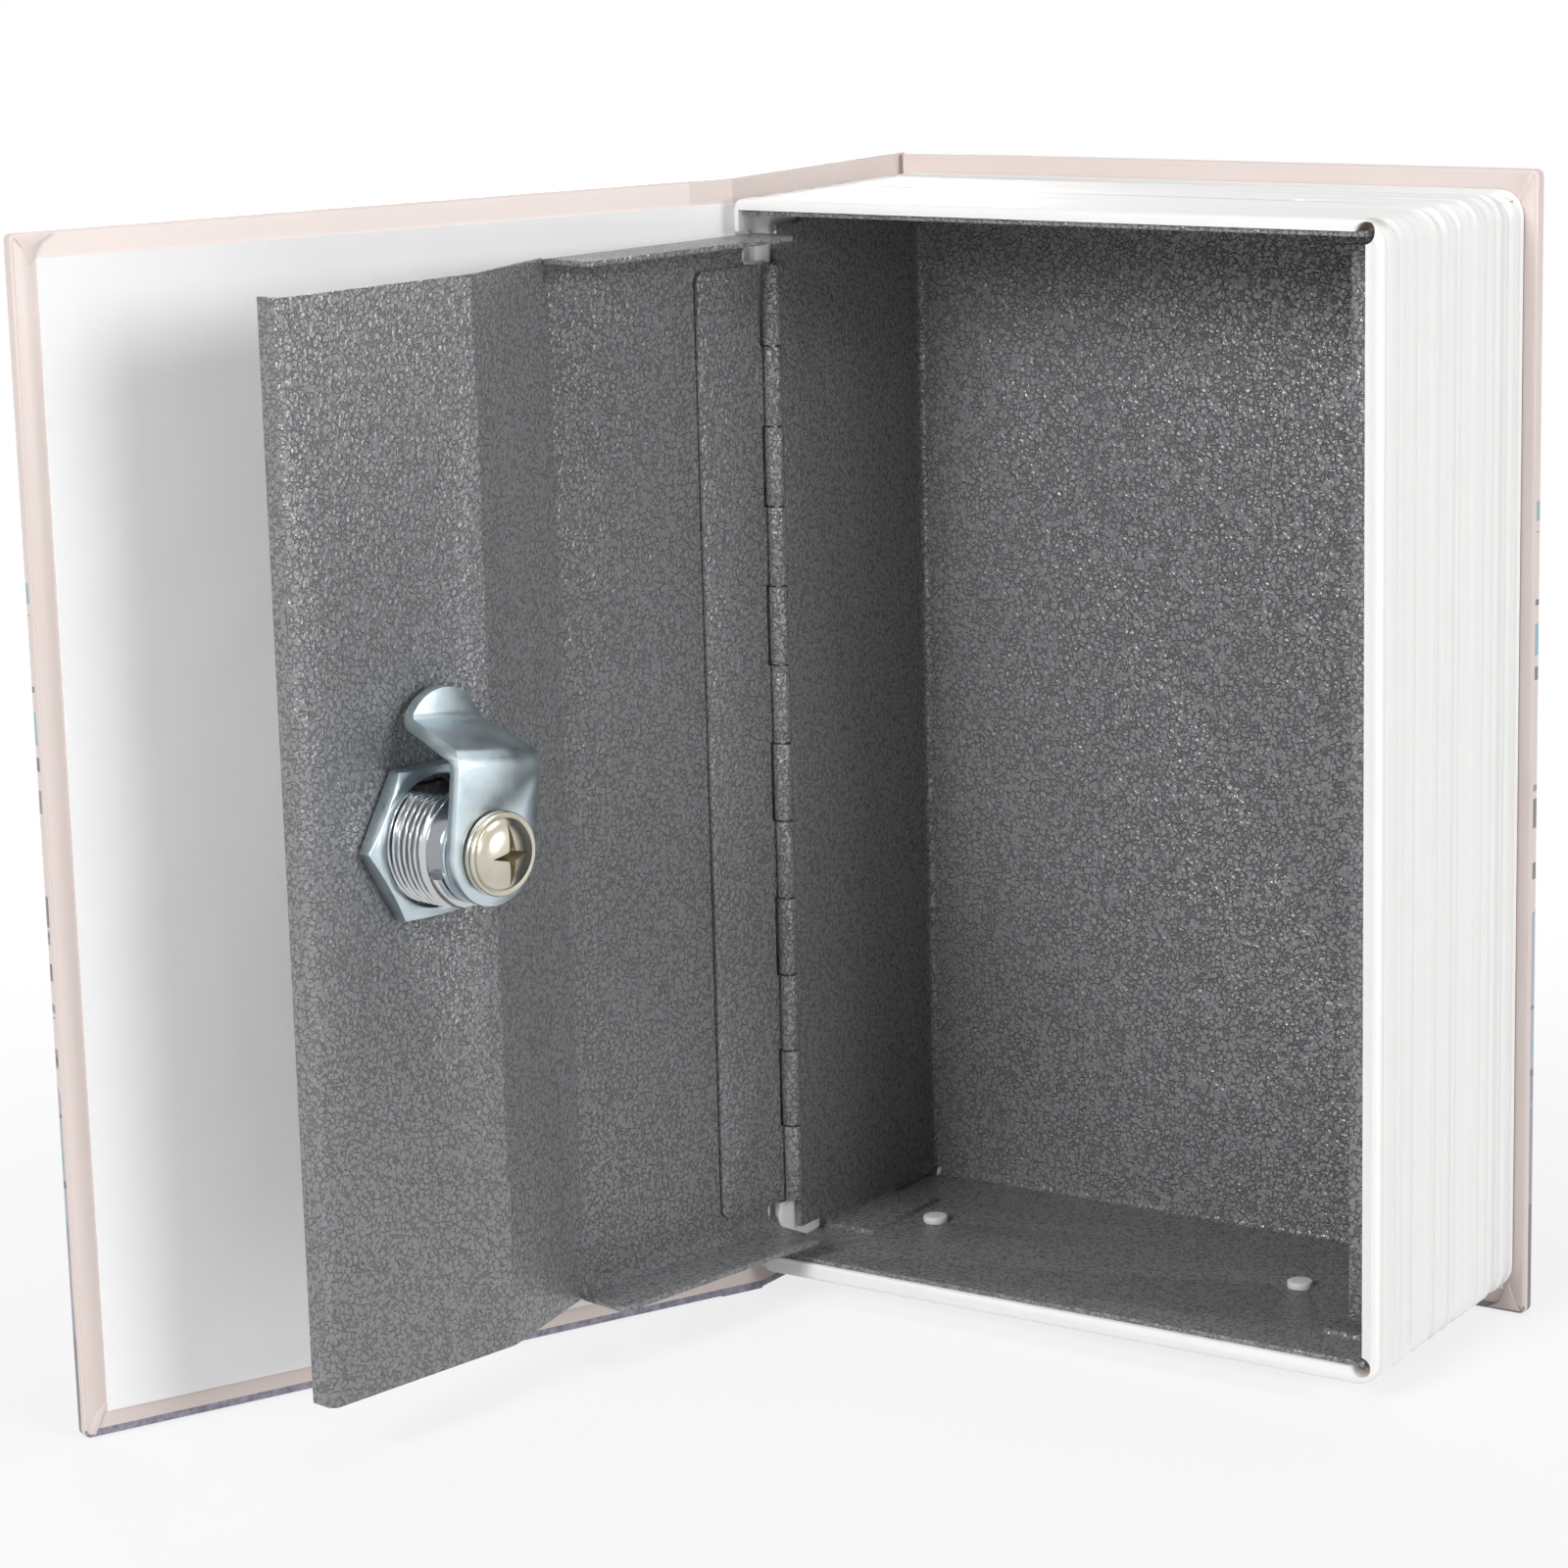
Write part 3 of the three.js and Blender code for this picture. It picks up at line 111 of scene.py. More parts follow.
camera = bpy.data.objects.new("camera", bpy.data.cameras.new("camera"))
bpy.context.scene.collection.objects.link(camera)
camera.data.sensor_width = SENSOR_MM
camera.data.lens = SENSOR_MM * FOCAL_PX / FRAME_PX
camera.data.clip_start = 0.01
camera.matrix_world = Matrix((
    (right.x, up.x, -forward.x, 0),
    (right.y, up.y, -forward.y, 0),
    (right.z, up.z, -forward.z, 0),
    (0, 0, 0, 1),
))
camera.location = (BOX_SHIFT + Vector(CAMERA_SPOT)) * MM
bpy.context.scene.camera = camera
bpy.context.scene.view_settings.view_transform = "Standard"
print("lens", round(camera.data.lens, 2), "mm")

# %% [markdown]
# Colours are written as they look on screen and turned to linear light once, here. One
# function adds a shader node with its settings and its links, which keeps each finish
# below readable as a list of what it is made of.

# %% Colour and node helpers


def linear(hex_colour):
    values = [int(hex_colour[i:i + 2], 16) / 255 for i in (1, 3, 5)]
    curve = [v / 12.92 if v <= 0.04045 else ((v + 0.055) / 1.055) ** 2.4 for v in values]
    return (*curve, 1.0)


def add(tree, kind, inputs=None, out=0, into=None, **settings):
    node = tree.nodes.new(kind)
    for name, value in settings.items():
        setattr(node, name, value)
    for name, value in (inputs or {}).items():
        if isinstance(value, bpy.types.NodeSocket):
            tree.links.new(value, node.inputs[name])
        else:
            node.inputs[name].default_value = value
    if into:
        tree.links.new(node.outputs[out], into)
    return node.outputs[out]


def finish(name, hex_colour, roughness, metallic=0.0, **extra):
    material = bpy.data.materials.new(name)
    material.use_nodes = True
    tree = material.node_tree
    shader = tree.nodes["Principled BSDF"].inputs
    shader["Base Color"].default_value = linear(hex_colour)
    shader["Roughness"].default_value = roughness
    shader["Metallic"].default_value = metallic
    for socket, value in extra.items():
        shader[socket.replace("_", " ")].default_value = value
    place = add(tree, "ShaderNodeTexCoord", out=3)
    return material, tree, shader, place


def per_mm(size):
    return 1 / (size * MM)


# %% [markdown]
# The steel is powder coated in a hammertone grey. The powder holds a binder that beads
# up as it melts, so the cured skin is full of short valleys, about a millimetre long,
# between round glossy islands. The valleys are painted darker, partly the coat's own tone
# there and partly painted shade in the hollows. Voronoi cells warped by noise give the
# islands and winding valleys, and a second noise opens and closes them, which cuts them short.

# %% Hammertone powder coat
ISLAND_MM = 0.95
COAT_RELIEF_MM = 0.31
powder, tree, shader, place = finish("hammertone_powder_coat", "#77787A", 0.22, 0.0,
                                     Specular_IOR_Level=0.7)
warp = add(tree, "ShaderNodeTexNoise", {"Vector": place, "Scale": per_mm(0.7), "Detail": 1.0},
           out=1)
warped = add(tree, "ShaderNodeVectorMath", {0: warp, 1: (MM, MM, MM), 2: place},
             operation="MULTIPLY_ADD")
edge = add(tree, "ShaderNodeTexVoronoi", {"Vector": warped, "Scale": per_mm(ISLAND_MM)},
           feature="DISTANCE_TO_EDGE")
breaks = add(tree, "ShaderNodeTexNoise", {"Vector": place, "Scale": per_mm(1.0), "Detail": 1.0})
width = add(tree, "ShaderNodeMapRange",
            {"Value": breaks, "From Min": 0.36, "From Max": 0.62, "To Min": 0.01, "To Max": 0.2})
valley = add(tree, "ShaderNodeMapRange", {"Value": edge, "From Min": 0.0, "From Max": width},
             interpolation_type="SMOOTHSTEP")
# Painted shade: the valleys take the darker grey, partly the coat's own tone and partly shade in
# the hollows.
add(tree, "ShaderNodeMix", {"Factor": valley, 6: linear("#6A6B6D"), 7: linear("#87888A")}, out=2,
    into=shader["Base Color"], data_type="RGBA")
swell = add(tree, "ShaderNodeTexNoise", {"Vector": place, "Scale": per_mm(0.7), "Detail": 1.0})
height = add(tree, "ShaderNodeMath", {0: valley, 1: 0.6, 2: swell}, operation="MULTIPLY_ADD")
add(tree, "ShaderNodeBump", {"Height": height, "Distance": COAT_RELIEF_MM * MM, "Strength": 1.0},
    into=shader["Normal"])
print("powder coat: islands about", ISLAND_MM, "mm across")

# %% [markdown]
# Hardback covers are wrapped in offset-printed art paper with a satin film on it. The
# print is a generic landscape of flat shapes: a blush sky with thin slate clouds, a
# disc in dusty teal and rows of lavender and slate hills along the foot. It reads a UV
# map measured in millimetres along the jacket, so it runs round the edges as one sheet
# does, and stops short on the turned-in strips, where only the foot of the print shows.

# %% Printed paper
SKY, BLOTCH = "#E6D8D3", "#DECFC9"
PAPER_RELIEF_MM = 0.02
DISC_AT, DISC_R, RING_R, RING_HALF_WIDE = (58, 118, 0), 21.0, 27.0, 0.7
PRINT_MIDDLE, EDGE_FROM_MIDDLE, EDGE_MARKS_BELOW = 142.2, 142.5, 132.0
PRINT_END_BACK, PRINT_END_FOOT, FOOT_BAND_BELOW = 286.1, -3.85, 0.5


def paper_grain(tree, place, shader):
    fibre = add(tree, "ShaderNodeTexNoise",
                {"Vector": place, "Scale": per_mm(1.1), "Detail": 3.0})
    add(tree, "ShaderNodeBump",
        {"Height": fibre, "Distance": PAPER_RELIEF_MM * MM, "Strength": 1.0},
        into=shader["Normal"])


printed, tree, shader, place = finish("printed_art_paper", SKY, 0.4, 0.0, Coat_Weight=0.2,
                                      Coat_Roughness=0.25)
jacket = add(tree, "ShaderNodeUVMap", uv_map="jacket")
split = tree.nodes.new("ShaderNodeSeparateXYZ")
tree.links.new(jacket, split.inputs[0])
along, high = split.outputs["X"], split.outputs["Y"]
cloudy = add(tree, "ShaderNodeTexNoise", {"Vector": place, "Scale": per_mm(18), "Detail": 3.0})
art = add(tree, "ShaderNodeMix", {"Factor": cloudy, 6: linear(BLOTCH), 7: linear(SKY)}, out=2,
          data_type="RGBA")
bare = art

streak_place = add(tree, "ShaderNodeVectorMath", {0: jacket, 1: (0.03, 0.16, 0.0)},
                   operation="MULTIPLY")
streaks = add(tree, "ShaderNodeTexNoise",
              {"Vector": streak_place, "Scale": 1.0, "Detail": 3.0, "Roughness": 0.6})
rare = add(tree, "ShaderNodeMapRange",
           {"Value": high, "From Min": 135.0, "From Max": 95.0, "To Min": 0.7, "To Max": 0.56})
cloud = add(tree, "ShaderNodeMath", {0: streaks, 1: rare}, operation="GREATER_THAN")
art = add(tree, "ShaderNodeMix", {"Factor": cloud, 6: art, 7: linear("#8F919A")}, out=2,
          data_type="RGBA")
deep = add(tree, "ShaderNodeMath", {0: rare, 1: 0.06}, operation="ADD")
core = add(tree, "ShaderNodeMath", {0: streaks, 1: deep}, operation="GREATER_THAN")
art = add(tree, "ShaderNodeMix", {"Factor": core, 6: art, 7: linear("#5F6168")}, out=2,
          data_type="RGBA")

centre_off = add(tree, "ShaderNodeVectorMath", {0: jacket, 1: DISC_AT}, out=1,
                 operation="DISTANCE")
disc = add(tree, "ShaderNodeMath", {0: centre_off, 1: DISC_R}, operation="LESS_THAN")
art = add(tree, "ShaderNodeMix", {"Factor": disc, 6: art, 7: linear("#8FADB4")}, out=2,
          data_type="RGBA")
ring = add(tree, "ShaderNodeMath", {0: centre_off, 1: RING_R, 2: RING_HALF_WIDE},
           operation="COMPARE")
art = add(tree, "ShaderNodeMix", {"Factor": ring, 6: art, 7: linear("#A8B4BC")}, out=2,
          data_type="RGBA")

HILLS = ((56, 16, 42, "#B1AFBE"), (36, 13, 30, "#9793A6"), (18, 9, 22, "#716F80"))
for crest, rise, reach, colour in HILLS:
    wave = add(tree, "ShaderNodeTexNoise", {"W": along, "Scale": 1 / reach, "Detail": 1.0},
               noise_dimensions="1D")
    sway = add(tree, "ShaderNodeMapRange", {"Value": wave, "From Min": 0.3, "From Max": 0.7,
                                            "To Min": crest - rise, "To Max": crest + rise})
    hill = add(tree, "ShaderNodeMath", {0: high, 1: sway}, operation="LESS_THAN")
    art = add(tree, "ShaderNodeMix", {"Factor": hill, 6: art, 7: linear(colour)}, out=2,
              data_type="RGBA")

mottle = add(tree, "ShaderNodeTexNoise",
             {"Vector": place, "Scale": per_mm(1.6), "Detail": 3.0, "Roughness": 0.7})
ground_ink = add(tree, "ShaderNodeMapRange", {"Value": mottle, "From Min": 0.38, "From Max": 0.62})
ground = add(tree, "ShaderNodeMix",
             {"Factor": ground_ink, 6: linear("#77758A"), 7: linear("#A09EAC")}, out=2,
             data_type="RGBA")
foot_band = add(tree, "ShaderNodeMath", {0: high, 1: FOOT_BAND_BELOW}, operation="LESS_THAN")
art = add(tree, "ShaderNodeMix", {"Factor": foot_band, 6: art, 7: ground}, out=2, data_type="RGBA")

middle_off = add(tree, "ShaderNodeMath", {0: along, 1: PRINT_MIDDLE}, operation="SUBTRACT")
from_middle = add(tree, "ShaderNodeMath", {0: middle_off}, operation="ABSOLUTE")
rim = add(tree, "ShaderNodeMath", {0: from_middle, 1: EDGE_FROM_MIDDLE}, operation="GREATER_THAN")
for seed, share, colour in ((3.0, 0.585, "#74716F"), (41.0, 0.66, "#8DB4BC")):
    spaced = add(tree, "ShaderNodeMath", {0: high, 1: seed}, operation="ADD")
    bar = add(tree, "ShaderNodeTexNoise",
              {"W": spaced, "Scale": 1 / 11, "Detail": 2.0, "Roughness": 0.7},
              noise_dimensions="1D")
    inked = add(tree, "ShaderNodeMath", {0: bar, 1: share}, operation="GREATER_THAN")
    inked_rim = add(tree, "ShaderNodeMath", {0: inked, 1: rim}, operation="MULTIPLY")
    low = add(tree, "ShaderNodeMath", {0: high, 1: EDGE_MARKS_BELOW}, operation="LESS_THAN")
    patch = add(tree, "ShaderNodeMath", {0: inked_rim, 1: low}, operation="MULTIPLY")
    art = add(tree, "ShaderNodeMix", {"Factor": patch, 6: art, 7: linear(colour)}, out=2,
              data_type="RGBA")

wobble = add(tree, "ShaderNodeTexNoise", {"Vector": place, "Scale": per_mm(9), "Detail": 2.0})
trim = add(tree, "ShaderNodeMapRange", {"Value": wobble, "To Min": -0.9, "To Max": -1.9})
off_front = add(tree, "ShaderNodeMath", {0: along, 1: trim}, operation="LESS_THAN")
off_back = add(tree, "ShaderNodeMath", {0: along, 1: PRINT_END_BACK}, operation="GREATER_THAN")
off_foot = add(tree, "ShaderNodeMath", {0: high, 1: PRINT_END_FOOT}, operation="LESS_THAN")
off_side = add(tree, "ShaderNodeMath", {0: off_front, 1: off_back}, operation="MAXIMUM")
off = add(tree, "ShaderNodeMath", {0: off_side, 1: off_foot}, operation="MAXIMUM")
add(tree, "ShaderNodeMix", {"Factor": off, 6: art, 7: bare}, out=2, into=shader["Base Color"],
    data_type="RGBA")
paper_grain(tree, place, shader)

plain_paper, tree, shader, place = finish("unprinted_strip_of_art_paper", SKY, 0.42, 0.0,
                                          Coat_Weight=0.2, Coat_Roughness=0.3)
cloudy = add(tree, "ShaderNodeTexNoise", {"Vector": place, "Scale": per_mm(18), "Detail": 3.0})
add(tree, "ShaderNodeMix", {"Factor": cloudy, 6: linear(BLOTCH), 7: linear(SKY)}, out=2,
    into=shader["Base Color"], data_type="RGBA")
paper_grain(tree, place, shader)
print("jacket print: 285 mm from fore-edge to fore-edge")

# %% [markdown]
# The endpaper is uncoated wood-free paper: matt, bright white, and pasted down wet, so
# it dries with a faint unevenness that only a raking light shows. The false pages are
# one polystyrene moulding, whose satin skin follows the flow of the melt.

# %% Endpaper, board, moulded pages and nylon
endpaper, tree, shader, place = finish("uncoated_endpaper", "#FAFAFB", 0.85)
pulp = add(tree, "ShaderNodeTexNoise",
           {"Vector": place, "Scale": per_mm(0.8), "Detail": 4.0, "Roughness": 0.65})
paste = add(tree, "ShaderNodeTexNoise", {"Vector": place, "Scale": per_mm(14), "Detail": 2.0})
uneven = add(tree, "ShaderNodeMath", {0: paste, 1: 12.0, 2: pulp}, operation="MULTIPLY_ADD")
add(tree, "ShaderNodeMix", {"Factor": paste, 6: linear("#F8F8F9"), 7: linear("#FCFCFD")}, out=2,
    into=shader["Base Color"], data_type="RGBA")
add(tree, "ShaderNodeBump", {"Height": uneven, "Distance": PAPER_RELIEF_MM * MM, "Strength": 1.0},
    into=shader["Normal"])

greyboard, tree, shader, place = finish("greyboard", "#A89C8C", 0.95)
chips = add(tree, "ShaderNodeTexNoise", {"Vector": place, "Scale": per_mm(0.6), "Detail": 4.0})
add(tree, "ShaderNodeMix", {"Factor": chips, 6: linear("#988C7C"), 7: linear("#B8AD9E")}, out=2,
    into=shader["Base Color"], data_type="RGBA")

RIB_PITCH, RIB_WANDER = 4, 0.22
moulded, tree, shader, place = finish("moulded_pages", "#F7F7F6", 0.4, 0.0, Subsurface_Weight=0.08,
                                      Subsurface_Scale=0.002)
flow = add(tree, "ShaderNodeTexNoise", {"Vector": place, "Scale": per_mm(9), "Detail": 2.0})
skin = add(tree, "ShaderNodeMix", {"Factor": flow, 6: linear("#F6F6F4"), 7: linear("#FBFBFA")},
           out=2, data_type="RGBA")
split = tree.nodes.new("ShaderNodeSeparateXYZ")
tree.links.new(place, split.inputs[0])
ribs_along = add(tree, "ShaderNodeMath",
                 {0: split.outputs["Y"], 1: -per_mm(RIB_PITCH), 2: BOX_SHIFT.y / RIB_PITCH},
                 operation="MULTIPLY_ADD")
phase = ribs_along
for rate, start in ((2.3, 0.0), (5.1, 1.0)):
    angle = add(tree, "ShaderNodeMath", {0: ribs_along, 1: rate, 2: start},
                operation="MULTIPLY_ADD")
    wander = add(tree, "ShaderNodeMath", {0: angle}, operation="SINE")
    phase = add(tree, "ShaderNodeMath", {0: wander, 1: RIB_WANDER, 2: phase},
                operation="MULTIPLY_ADD")
turn = add(tree, "ShaderNodeMath", {0: phase, 1: 2 * math.pi}, operation="MULTIPLY")
crest = add(tree, "ShaderNodeMath", {0: turn}, operation="COSINE")
# Painted shade: the rib grooves on the fore-edge side are painted a darker grey where shade lies
# in them.
trough = add(tree, "ShaderNodeMapRange",
             {"Value": crest, "From Min": -0.8, "From Max": -1.0, "To Max": 0.6})
fore_side = add(tree, "ShaderNodeMapRange",
                {"Value": split.outputs["X"], "From Min": 0.0745, "From Max": 0.0785})
shadow = add(tree, "ShaderNodeMath", {0: trough, 1: fore_side}, operation="MULTIPLY")
skin = add(tree, "ShaderNodeMix", {"Factor": shadow, 6: skin, 7: linear("#E3E3E2")}, out=2,
           data_type="RGBA")
# Brown spots at four corners of the moulding beside the steel: partly the brown seam there, partly
# painted shade in the corners.
for spot in ((108.7, FRONT + 2.8, 6.7), (108.7, FRONT + 2.8, 175.2), (3.6, FRONT + 4, 6.9),
             (3.6, -0.4, 7.0)):
    gap = add(tree, "ShaderNodeVectorMath", {0: place, 1: (BOX_SHIFT + Vector(spot)) * MM}, out=1,
              operation="DISTANCE")
    brown_seam_and_corner_shade = add(tree, "ShaderNodeMapRange", {"Value": gap, "From Min": 1.3 * MM,
                                            "From Max": 2.4 * MM, "To Min": 0.8, "To Max": 0.0})
    skin = add(tree, "ShaderNodeMix", {"Factor": brown_seam_and_corner_shade, 6: skin, 7: linear("#A98660")}, out=2,
               data_type="RGBA")
tree.links.new(skin, shader["Base Color"])
add(tree, "ShaderNodeBump", {"Height": flow, "Distance": 0.05 * MM, "Strength": 1.0},
    into=shader["Normal"])

nylon, tree, shader, place = finish("natural_nylon", "#EEEFEC", 0.42, 0.0, Subsurface_Weight=0.15,
                                    Subsurface_Scale=0.001)
gate = add(tree, "ShaderNodeTexNoise", {"Vector": place, "Scale": per_mm(2), "Detail": 2.0})
add(tree, "ShaderNodeMix", {"Factor": gate, 6: linear("#E6E7E4"), 7: linear("#F2F3F0")}, out=2,
    into=shader["Base Color"], data_type="RGBA")
print("white finishes: endpaper, moulding, nylon")

# %% [markdown]
# The lock mixes three platings. The barrel is nickel-chromed zinc alloy, turned and then
# polished. The cam and the nut are stamped steel in clear, slightly blue zinc, which
# clouds in patches. The screw has a pale yellow passivation over the same zinc.

# %% Metals
chrome, tree, shader, place = finish("polished_chrome", "#C6C8CB", 0.14, 1.0)
haze = add(tree, "ShaderNodeTexNoise", {"Vector": place, "Scale": per_mm(3), "Detail": 3.0})
add(tree, "ShaderNodeMapRange", {"Value": haze, "To Min": 0.08, "To Max": 0.2},
    into=shader["Roughness"])

ZINC_GRAIN_MM = 0.02
zinc, tree, shader, place = finish("clear_zinc_plate", "#BCC8CD", 0.28, 1.0)
patch = add(tree, "ShaderNodeTexNoise", {"Vector": place, "Scale": per_mm(3.5), "Detail": 3.0})
add(tree, "ShaderNodeMix", {"Factor": patch, 6: linear("#B0C2C9"), 7: linear("#DAE5EA")}, out=2,
    into=shader["Base Color"], data_type="RGBA")
add(tree, "ShaderNodeMapRange", {"Value": patch, "To Min": 0.22, "To Max": 0.42},
    into=shader["Roughness"])
grain = add(tree, "ShaderNodeTexNoise", {"Vector": place, "Scale": per_mm(0.35), "Detail": 2.0})
add(tree, "ShaderNodeBump", {"Height": grain, "Distance": ZINC_GRAIN_MM * MM, "Strength": 1.0},
    into=shader["Normal"])

yellow_zinc, tree, shader, place = finish("yellow_passivated_zinc", "#C7C2B2", 0.24, 1.0)
film = add(tree, "ShaderNodeTexNoise", {"Vector": place, "Scale": per_mm(3.2), "Detail": 2.0})
add(tree, "ShaderNodeMix", {"Factor": film, 6: linear("#BBB5A0"), 7: linear("#D3CEC4")}, out=2,
    into=shader["Base Color"], data_type="RGBA")

brass, tree, shader, place = finish("stamped_brass", "#B79B56", 0.32, 1.0)
tarnish = add(tree, "ShaderNodeTexNoise", {"Vector": place, "Scale": per_mm(2), "Detail": 2.0})
add(tree, "ShaderNodeMix", {"Factor": tarnish, 6: linear("#A58949"), 7: linear("#C4A963")}, out=2,
    into=shader["Base Color"], data_type="RGBA")

wire, tree, shader, place = finish("drawn_steel_wire", "#A2A5A8", 0.3, 1.0)
drawn = add(tree, "ShaderNodeTexNoise", {"Vector": place, "Scale": per_mm(1), "Detail": 2.0})
add(tree, "ShaderNodeMix", {"Factor": drawn, 6: linear("#8E9194"), 7: linear("#B4B7BA")}, out=2,
    into=shader["Base Color"], data_type="RGBA")

SLOT_FINISH = {
    "greyboard": greyboard, "printed_paper": plain_paper, "endpaper": endpaper,
    "moulded_pages": moulded, "powder_coat": powder, "white_nylon": nylon,
    "pin_steel": wire, "chrome": chrome, "bright_zinc": zinc, "yellow_zinc": yellow_zinc,
    "brass": brass, "spring_steel": wire,
}
slot_of = {part["node"]: part["material_slot"] for part in frame["record"]["subparts"]}
bodies = frame["record"]["behaviour"]["bodies"]
body_of = {node: body for body, held in bodies.items() for node in held}
for name, node in nodes.items():
    node.data.materials.clear()
    node.data.materials.append(SLOT_FINISH[slot_of[name]])
print(len(nodes), "CAD nodes finished")

# %% [markdown]
# Every piece below is made with the tools of edit mode. These helpers make one object
# active, select its edges or faces by a test in code, and apply a modifier.
# Each piece is drawn in its own millimetres, then its mesh is carried to its place, so
# the object itself stays at the origin and object coordinates are scene coordinates.

# %% Modelling helpers


def only(piece):
    bpy.ops.object.select_all(action="DESELECT")
    piece.select_set(True)
    bpy.context.view_layer.objects.active = piece


def pick(piece, kind, test):
    only(piece)
    bpy.ops.object.mode_set(mode="EDIT")
    bpy.ops.mesh.select_mode(type=kind)
    bpy.ops.mesh.select_all(action="DESELECT")
    bpy.ops.object.mode_set(mode="OBJECT")
    mesh = piece.data
    if kind == "EDGE":
        for edge in mesh.edges:
            edge.select = test(sum((mesh.vertices[v].co for v in edge.vertices), Vector()) / 2)
    if kind == "FACE":
        for face in mesh.polygons:
            face.select = test(face)
    bpy.ops.object.mode_set(mode="EDIT")


def apply_modifier(piece, name, kind, **settings):
    only(piece)
    modifier = piece.modifiers.new(name, kind)
    for key, value in settings.items():
        setattr(modifier, key, value)
    bpy.ops.object.modifier_apply(modifier=name)


def cut(piece, cutter):
    apply_modifier(piece, "cut", "BOOLEAN", operation="DIFFERENCE", object=cutter, solver="EXACT")
    bpy.data.objects.remove(cutter)


def block(name, x0, x1, y0, y1, z0, z1):
    bpy.ops.object.select_all(action="DESELECT")
    middle = ((x0 + x1) / 2, (y0 + y1) / 2, (z0 + z1) / 2)
    bpy.ops.mesh.primitive_cube_add(size=1, location=middle, scale=(x1 - x0, y1 - y0, z1 - z0))
    bpy.ops.object.transform_apply(location=True, rotation=False, scale=True)
    bpy.context.object.name = name
    return bpy.context.object


def turned(name, profile, steps):
    bpy.ops.object.select_all(action="DESELECT")
    bpy.ops.mesh.primitive_circle_add(vertices=len(profile))
    piece = bpy.context.object
    piece.name = name
    for corner, (radius, along_axis) in zip(piece.data.vertices, profile):
        corner.co = (radius, along_axis, 0)
    bpy.ops.object.mode_set(mode="EDIT")
    bpy.ops.mesh.select_all(action="SELECT")
    bpy.ops.mesh.spin(steps=steps, angle=2 * math.pi, center=(0, 0, 0), axis=(0, 1, 0))
    bpy.ops.mesh.select_all(action="SELECT")
    bpy.ops.mesh.remove_doubles(threshold=0.0005)
    bpy.ops.mesh.normals_make_consistent(inside=False)
    bpy.ops.object.mode_set(mode="OBJECT")
    return piece


def settle(piece, axes, body, material, replaced=(), smooth_deg=35):
    piece.data.transform(axes)
    only(piece)
    bpy.ops.object.shade_smooth_by_angle(angle=math.radians(smooth_deg))
    piece.data.materials.clear()
    piece.data.materials.append(material)
    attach(piece, body)
    if replaced:
        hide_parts(*replaced)
    print(piece.name, len(piece.data.polygons), "faces")


# %% [markdown]
# Sheet steel and mouldings never have knife edges. A copy of each CAD part has its loose
# triangles merged, its flat faces cleared of cuts, and every sharp edge rounded by a
# small bevel, which is what catches the light along a real edge. The door's two long
# bends are pressed in a soft tool, so they get a wide bevel first.

# %% Rounded edges on the CAD parts


def round_edges(node, bevel_mm, segments=2, sharp_deg=28, bends=None):
    piece = bpy.data.objects.new(node + "_rounded", nodes[node].data.copy())
    bpy.context.scene.collection.objects.link(piece)
    only(piece)
    bpy.ops.object.mode_set(mode="EDIT")
    bpy.ops.mesh.select_all(action="SELECT")
    bpy.ops.mesh.remove_doubles(threshold=0.002 * MM)
    bpy.ops.mesh.dissolve_limited(angle_limit=math.radians(0.6))
    bpy.ops.object.mode_set(mode="OBJECT")
    if bends:
        pick(piece, "EDGE", bends)
        bpy.ops.mesh.bevel(offset=2 * MM, segments=6, affect="EDGES")
        bpy.ops.object.mode_set(mode="OBJECT")
    apply_modifier(piece, "edge", "BEVEL", width=bevel_mm * MM, segments=segments,
                   limit_method="ANGLE", angle_limit=math.radians(sharp_deg))
    settle(piece, Matrix(), body_of[node], SLOT_FINISH[slot_of[node]], [node])


BENDS_AT = (45.5, 67.5)


def at_joggle(middle):
    along, deep, high = DOOR_AXES.inverted() @ middle
    return min(abs(along - bend) for bend in BENDS_AT) < 0.4 and 40 < high < 140 and -3 < deep < 8


round_edges("door_panel", 0.18, bends=at_joggle)
for node, bevel_mm in {
    "box_shell": 0.15, "hinge_leaf_box": 0.12, "hinge_leaf_door": 0.12,
    "cam": 0.22, "stop_washer": 0.15, "page_block": 0.3, "lock_nut": 0.2, "spring_washer": 0.12,
}.items():
    round_edges(node, bevel_mm)

# %% [markdown]
# A case binding is three boards in one printed sheet. The paper is pulled over the edge
# of each board, so the edges are round and the corners softer still. Each board is a
# block whose corner edges, then its outer edges, are bevelled, but not the edges at the
# joint, where the paper carries on. The map is unfolded in the same step: the distance
# round an edge is added to the distance along the jacket.

# %% Wrapped boards
INNER, OUTER = 0.3, -2.25
FORE, JOINT, JOINT_WIDE, SPINE_WIDE = 114.65, 3.75, 7.4, 50.85


def wrapped_board(name, x0, x1, corner_mm, edge_mm):
    board = block(name, x0, x1, OUTER, INNER, 0, BOOK_HIGH)
    pick(board, "EDGE", lambda mid: mid.x > x1 - 0.1 and INNER - 0.1 > mid.y > OUTER + 0.1)
    bpy.ops.mesh.bevel(offset=corner_mm, segments=4, affect="EDGES")
    bpy.ops.object.mode_set(mode="OBJECT")
    pick(board, "EDGE", lambda mid: (
        mid.x > x0 + 0.01 and min(abs(mid.y - INNER), abs(mid.y - OUTER)) < 0.01))
    bpy.ops.mesh.bevel(offset=edge_mm, segments=4, affect="EDGES")
    bpy.ops.object.mode_set(mode="OBJECT")
    return board


def unfold(piece, u0, du, v0, dv):
    layer = piece.data.uv_layers.new(name="jacket").data
    for face in piece.data.polygons:
        side = face.normal
        for loop in face.loop_indices:
            point = piece.data.vertices[piece.data.loops[loop].vertex_index].co
            depth = point.y - OUTER
            u, v = u0 + du * point.x, v0 + dv * point.z
            if side.y > 0.6:
                v = -depth - v
            else:
                u += du * depth * (side.x > 0.3)
                v += dv * depth * ((side.z > 0.3) - (side.z < -0.3))
            layer[loop].uv = (u, v)


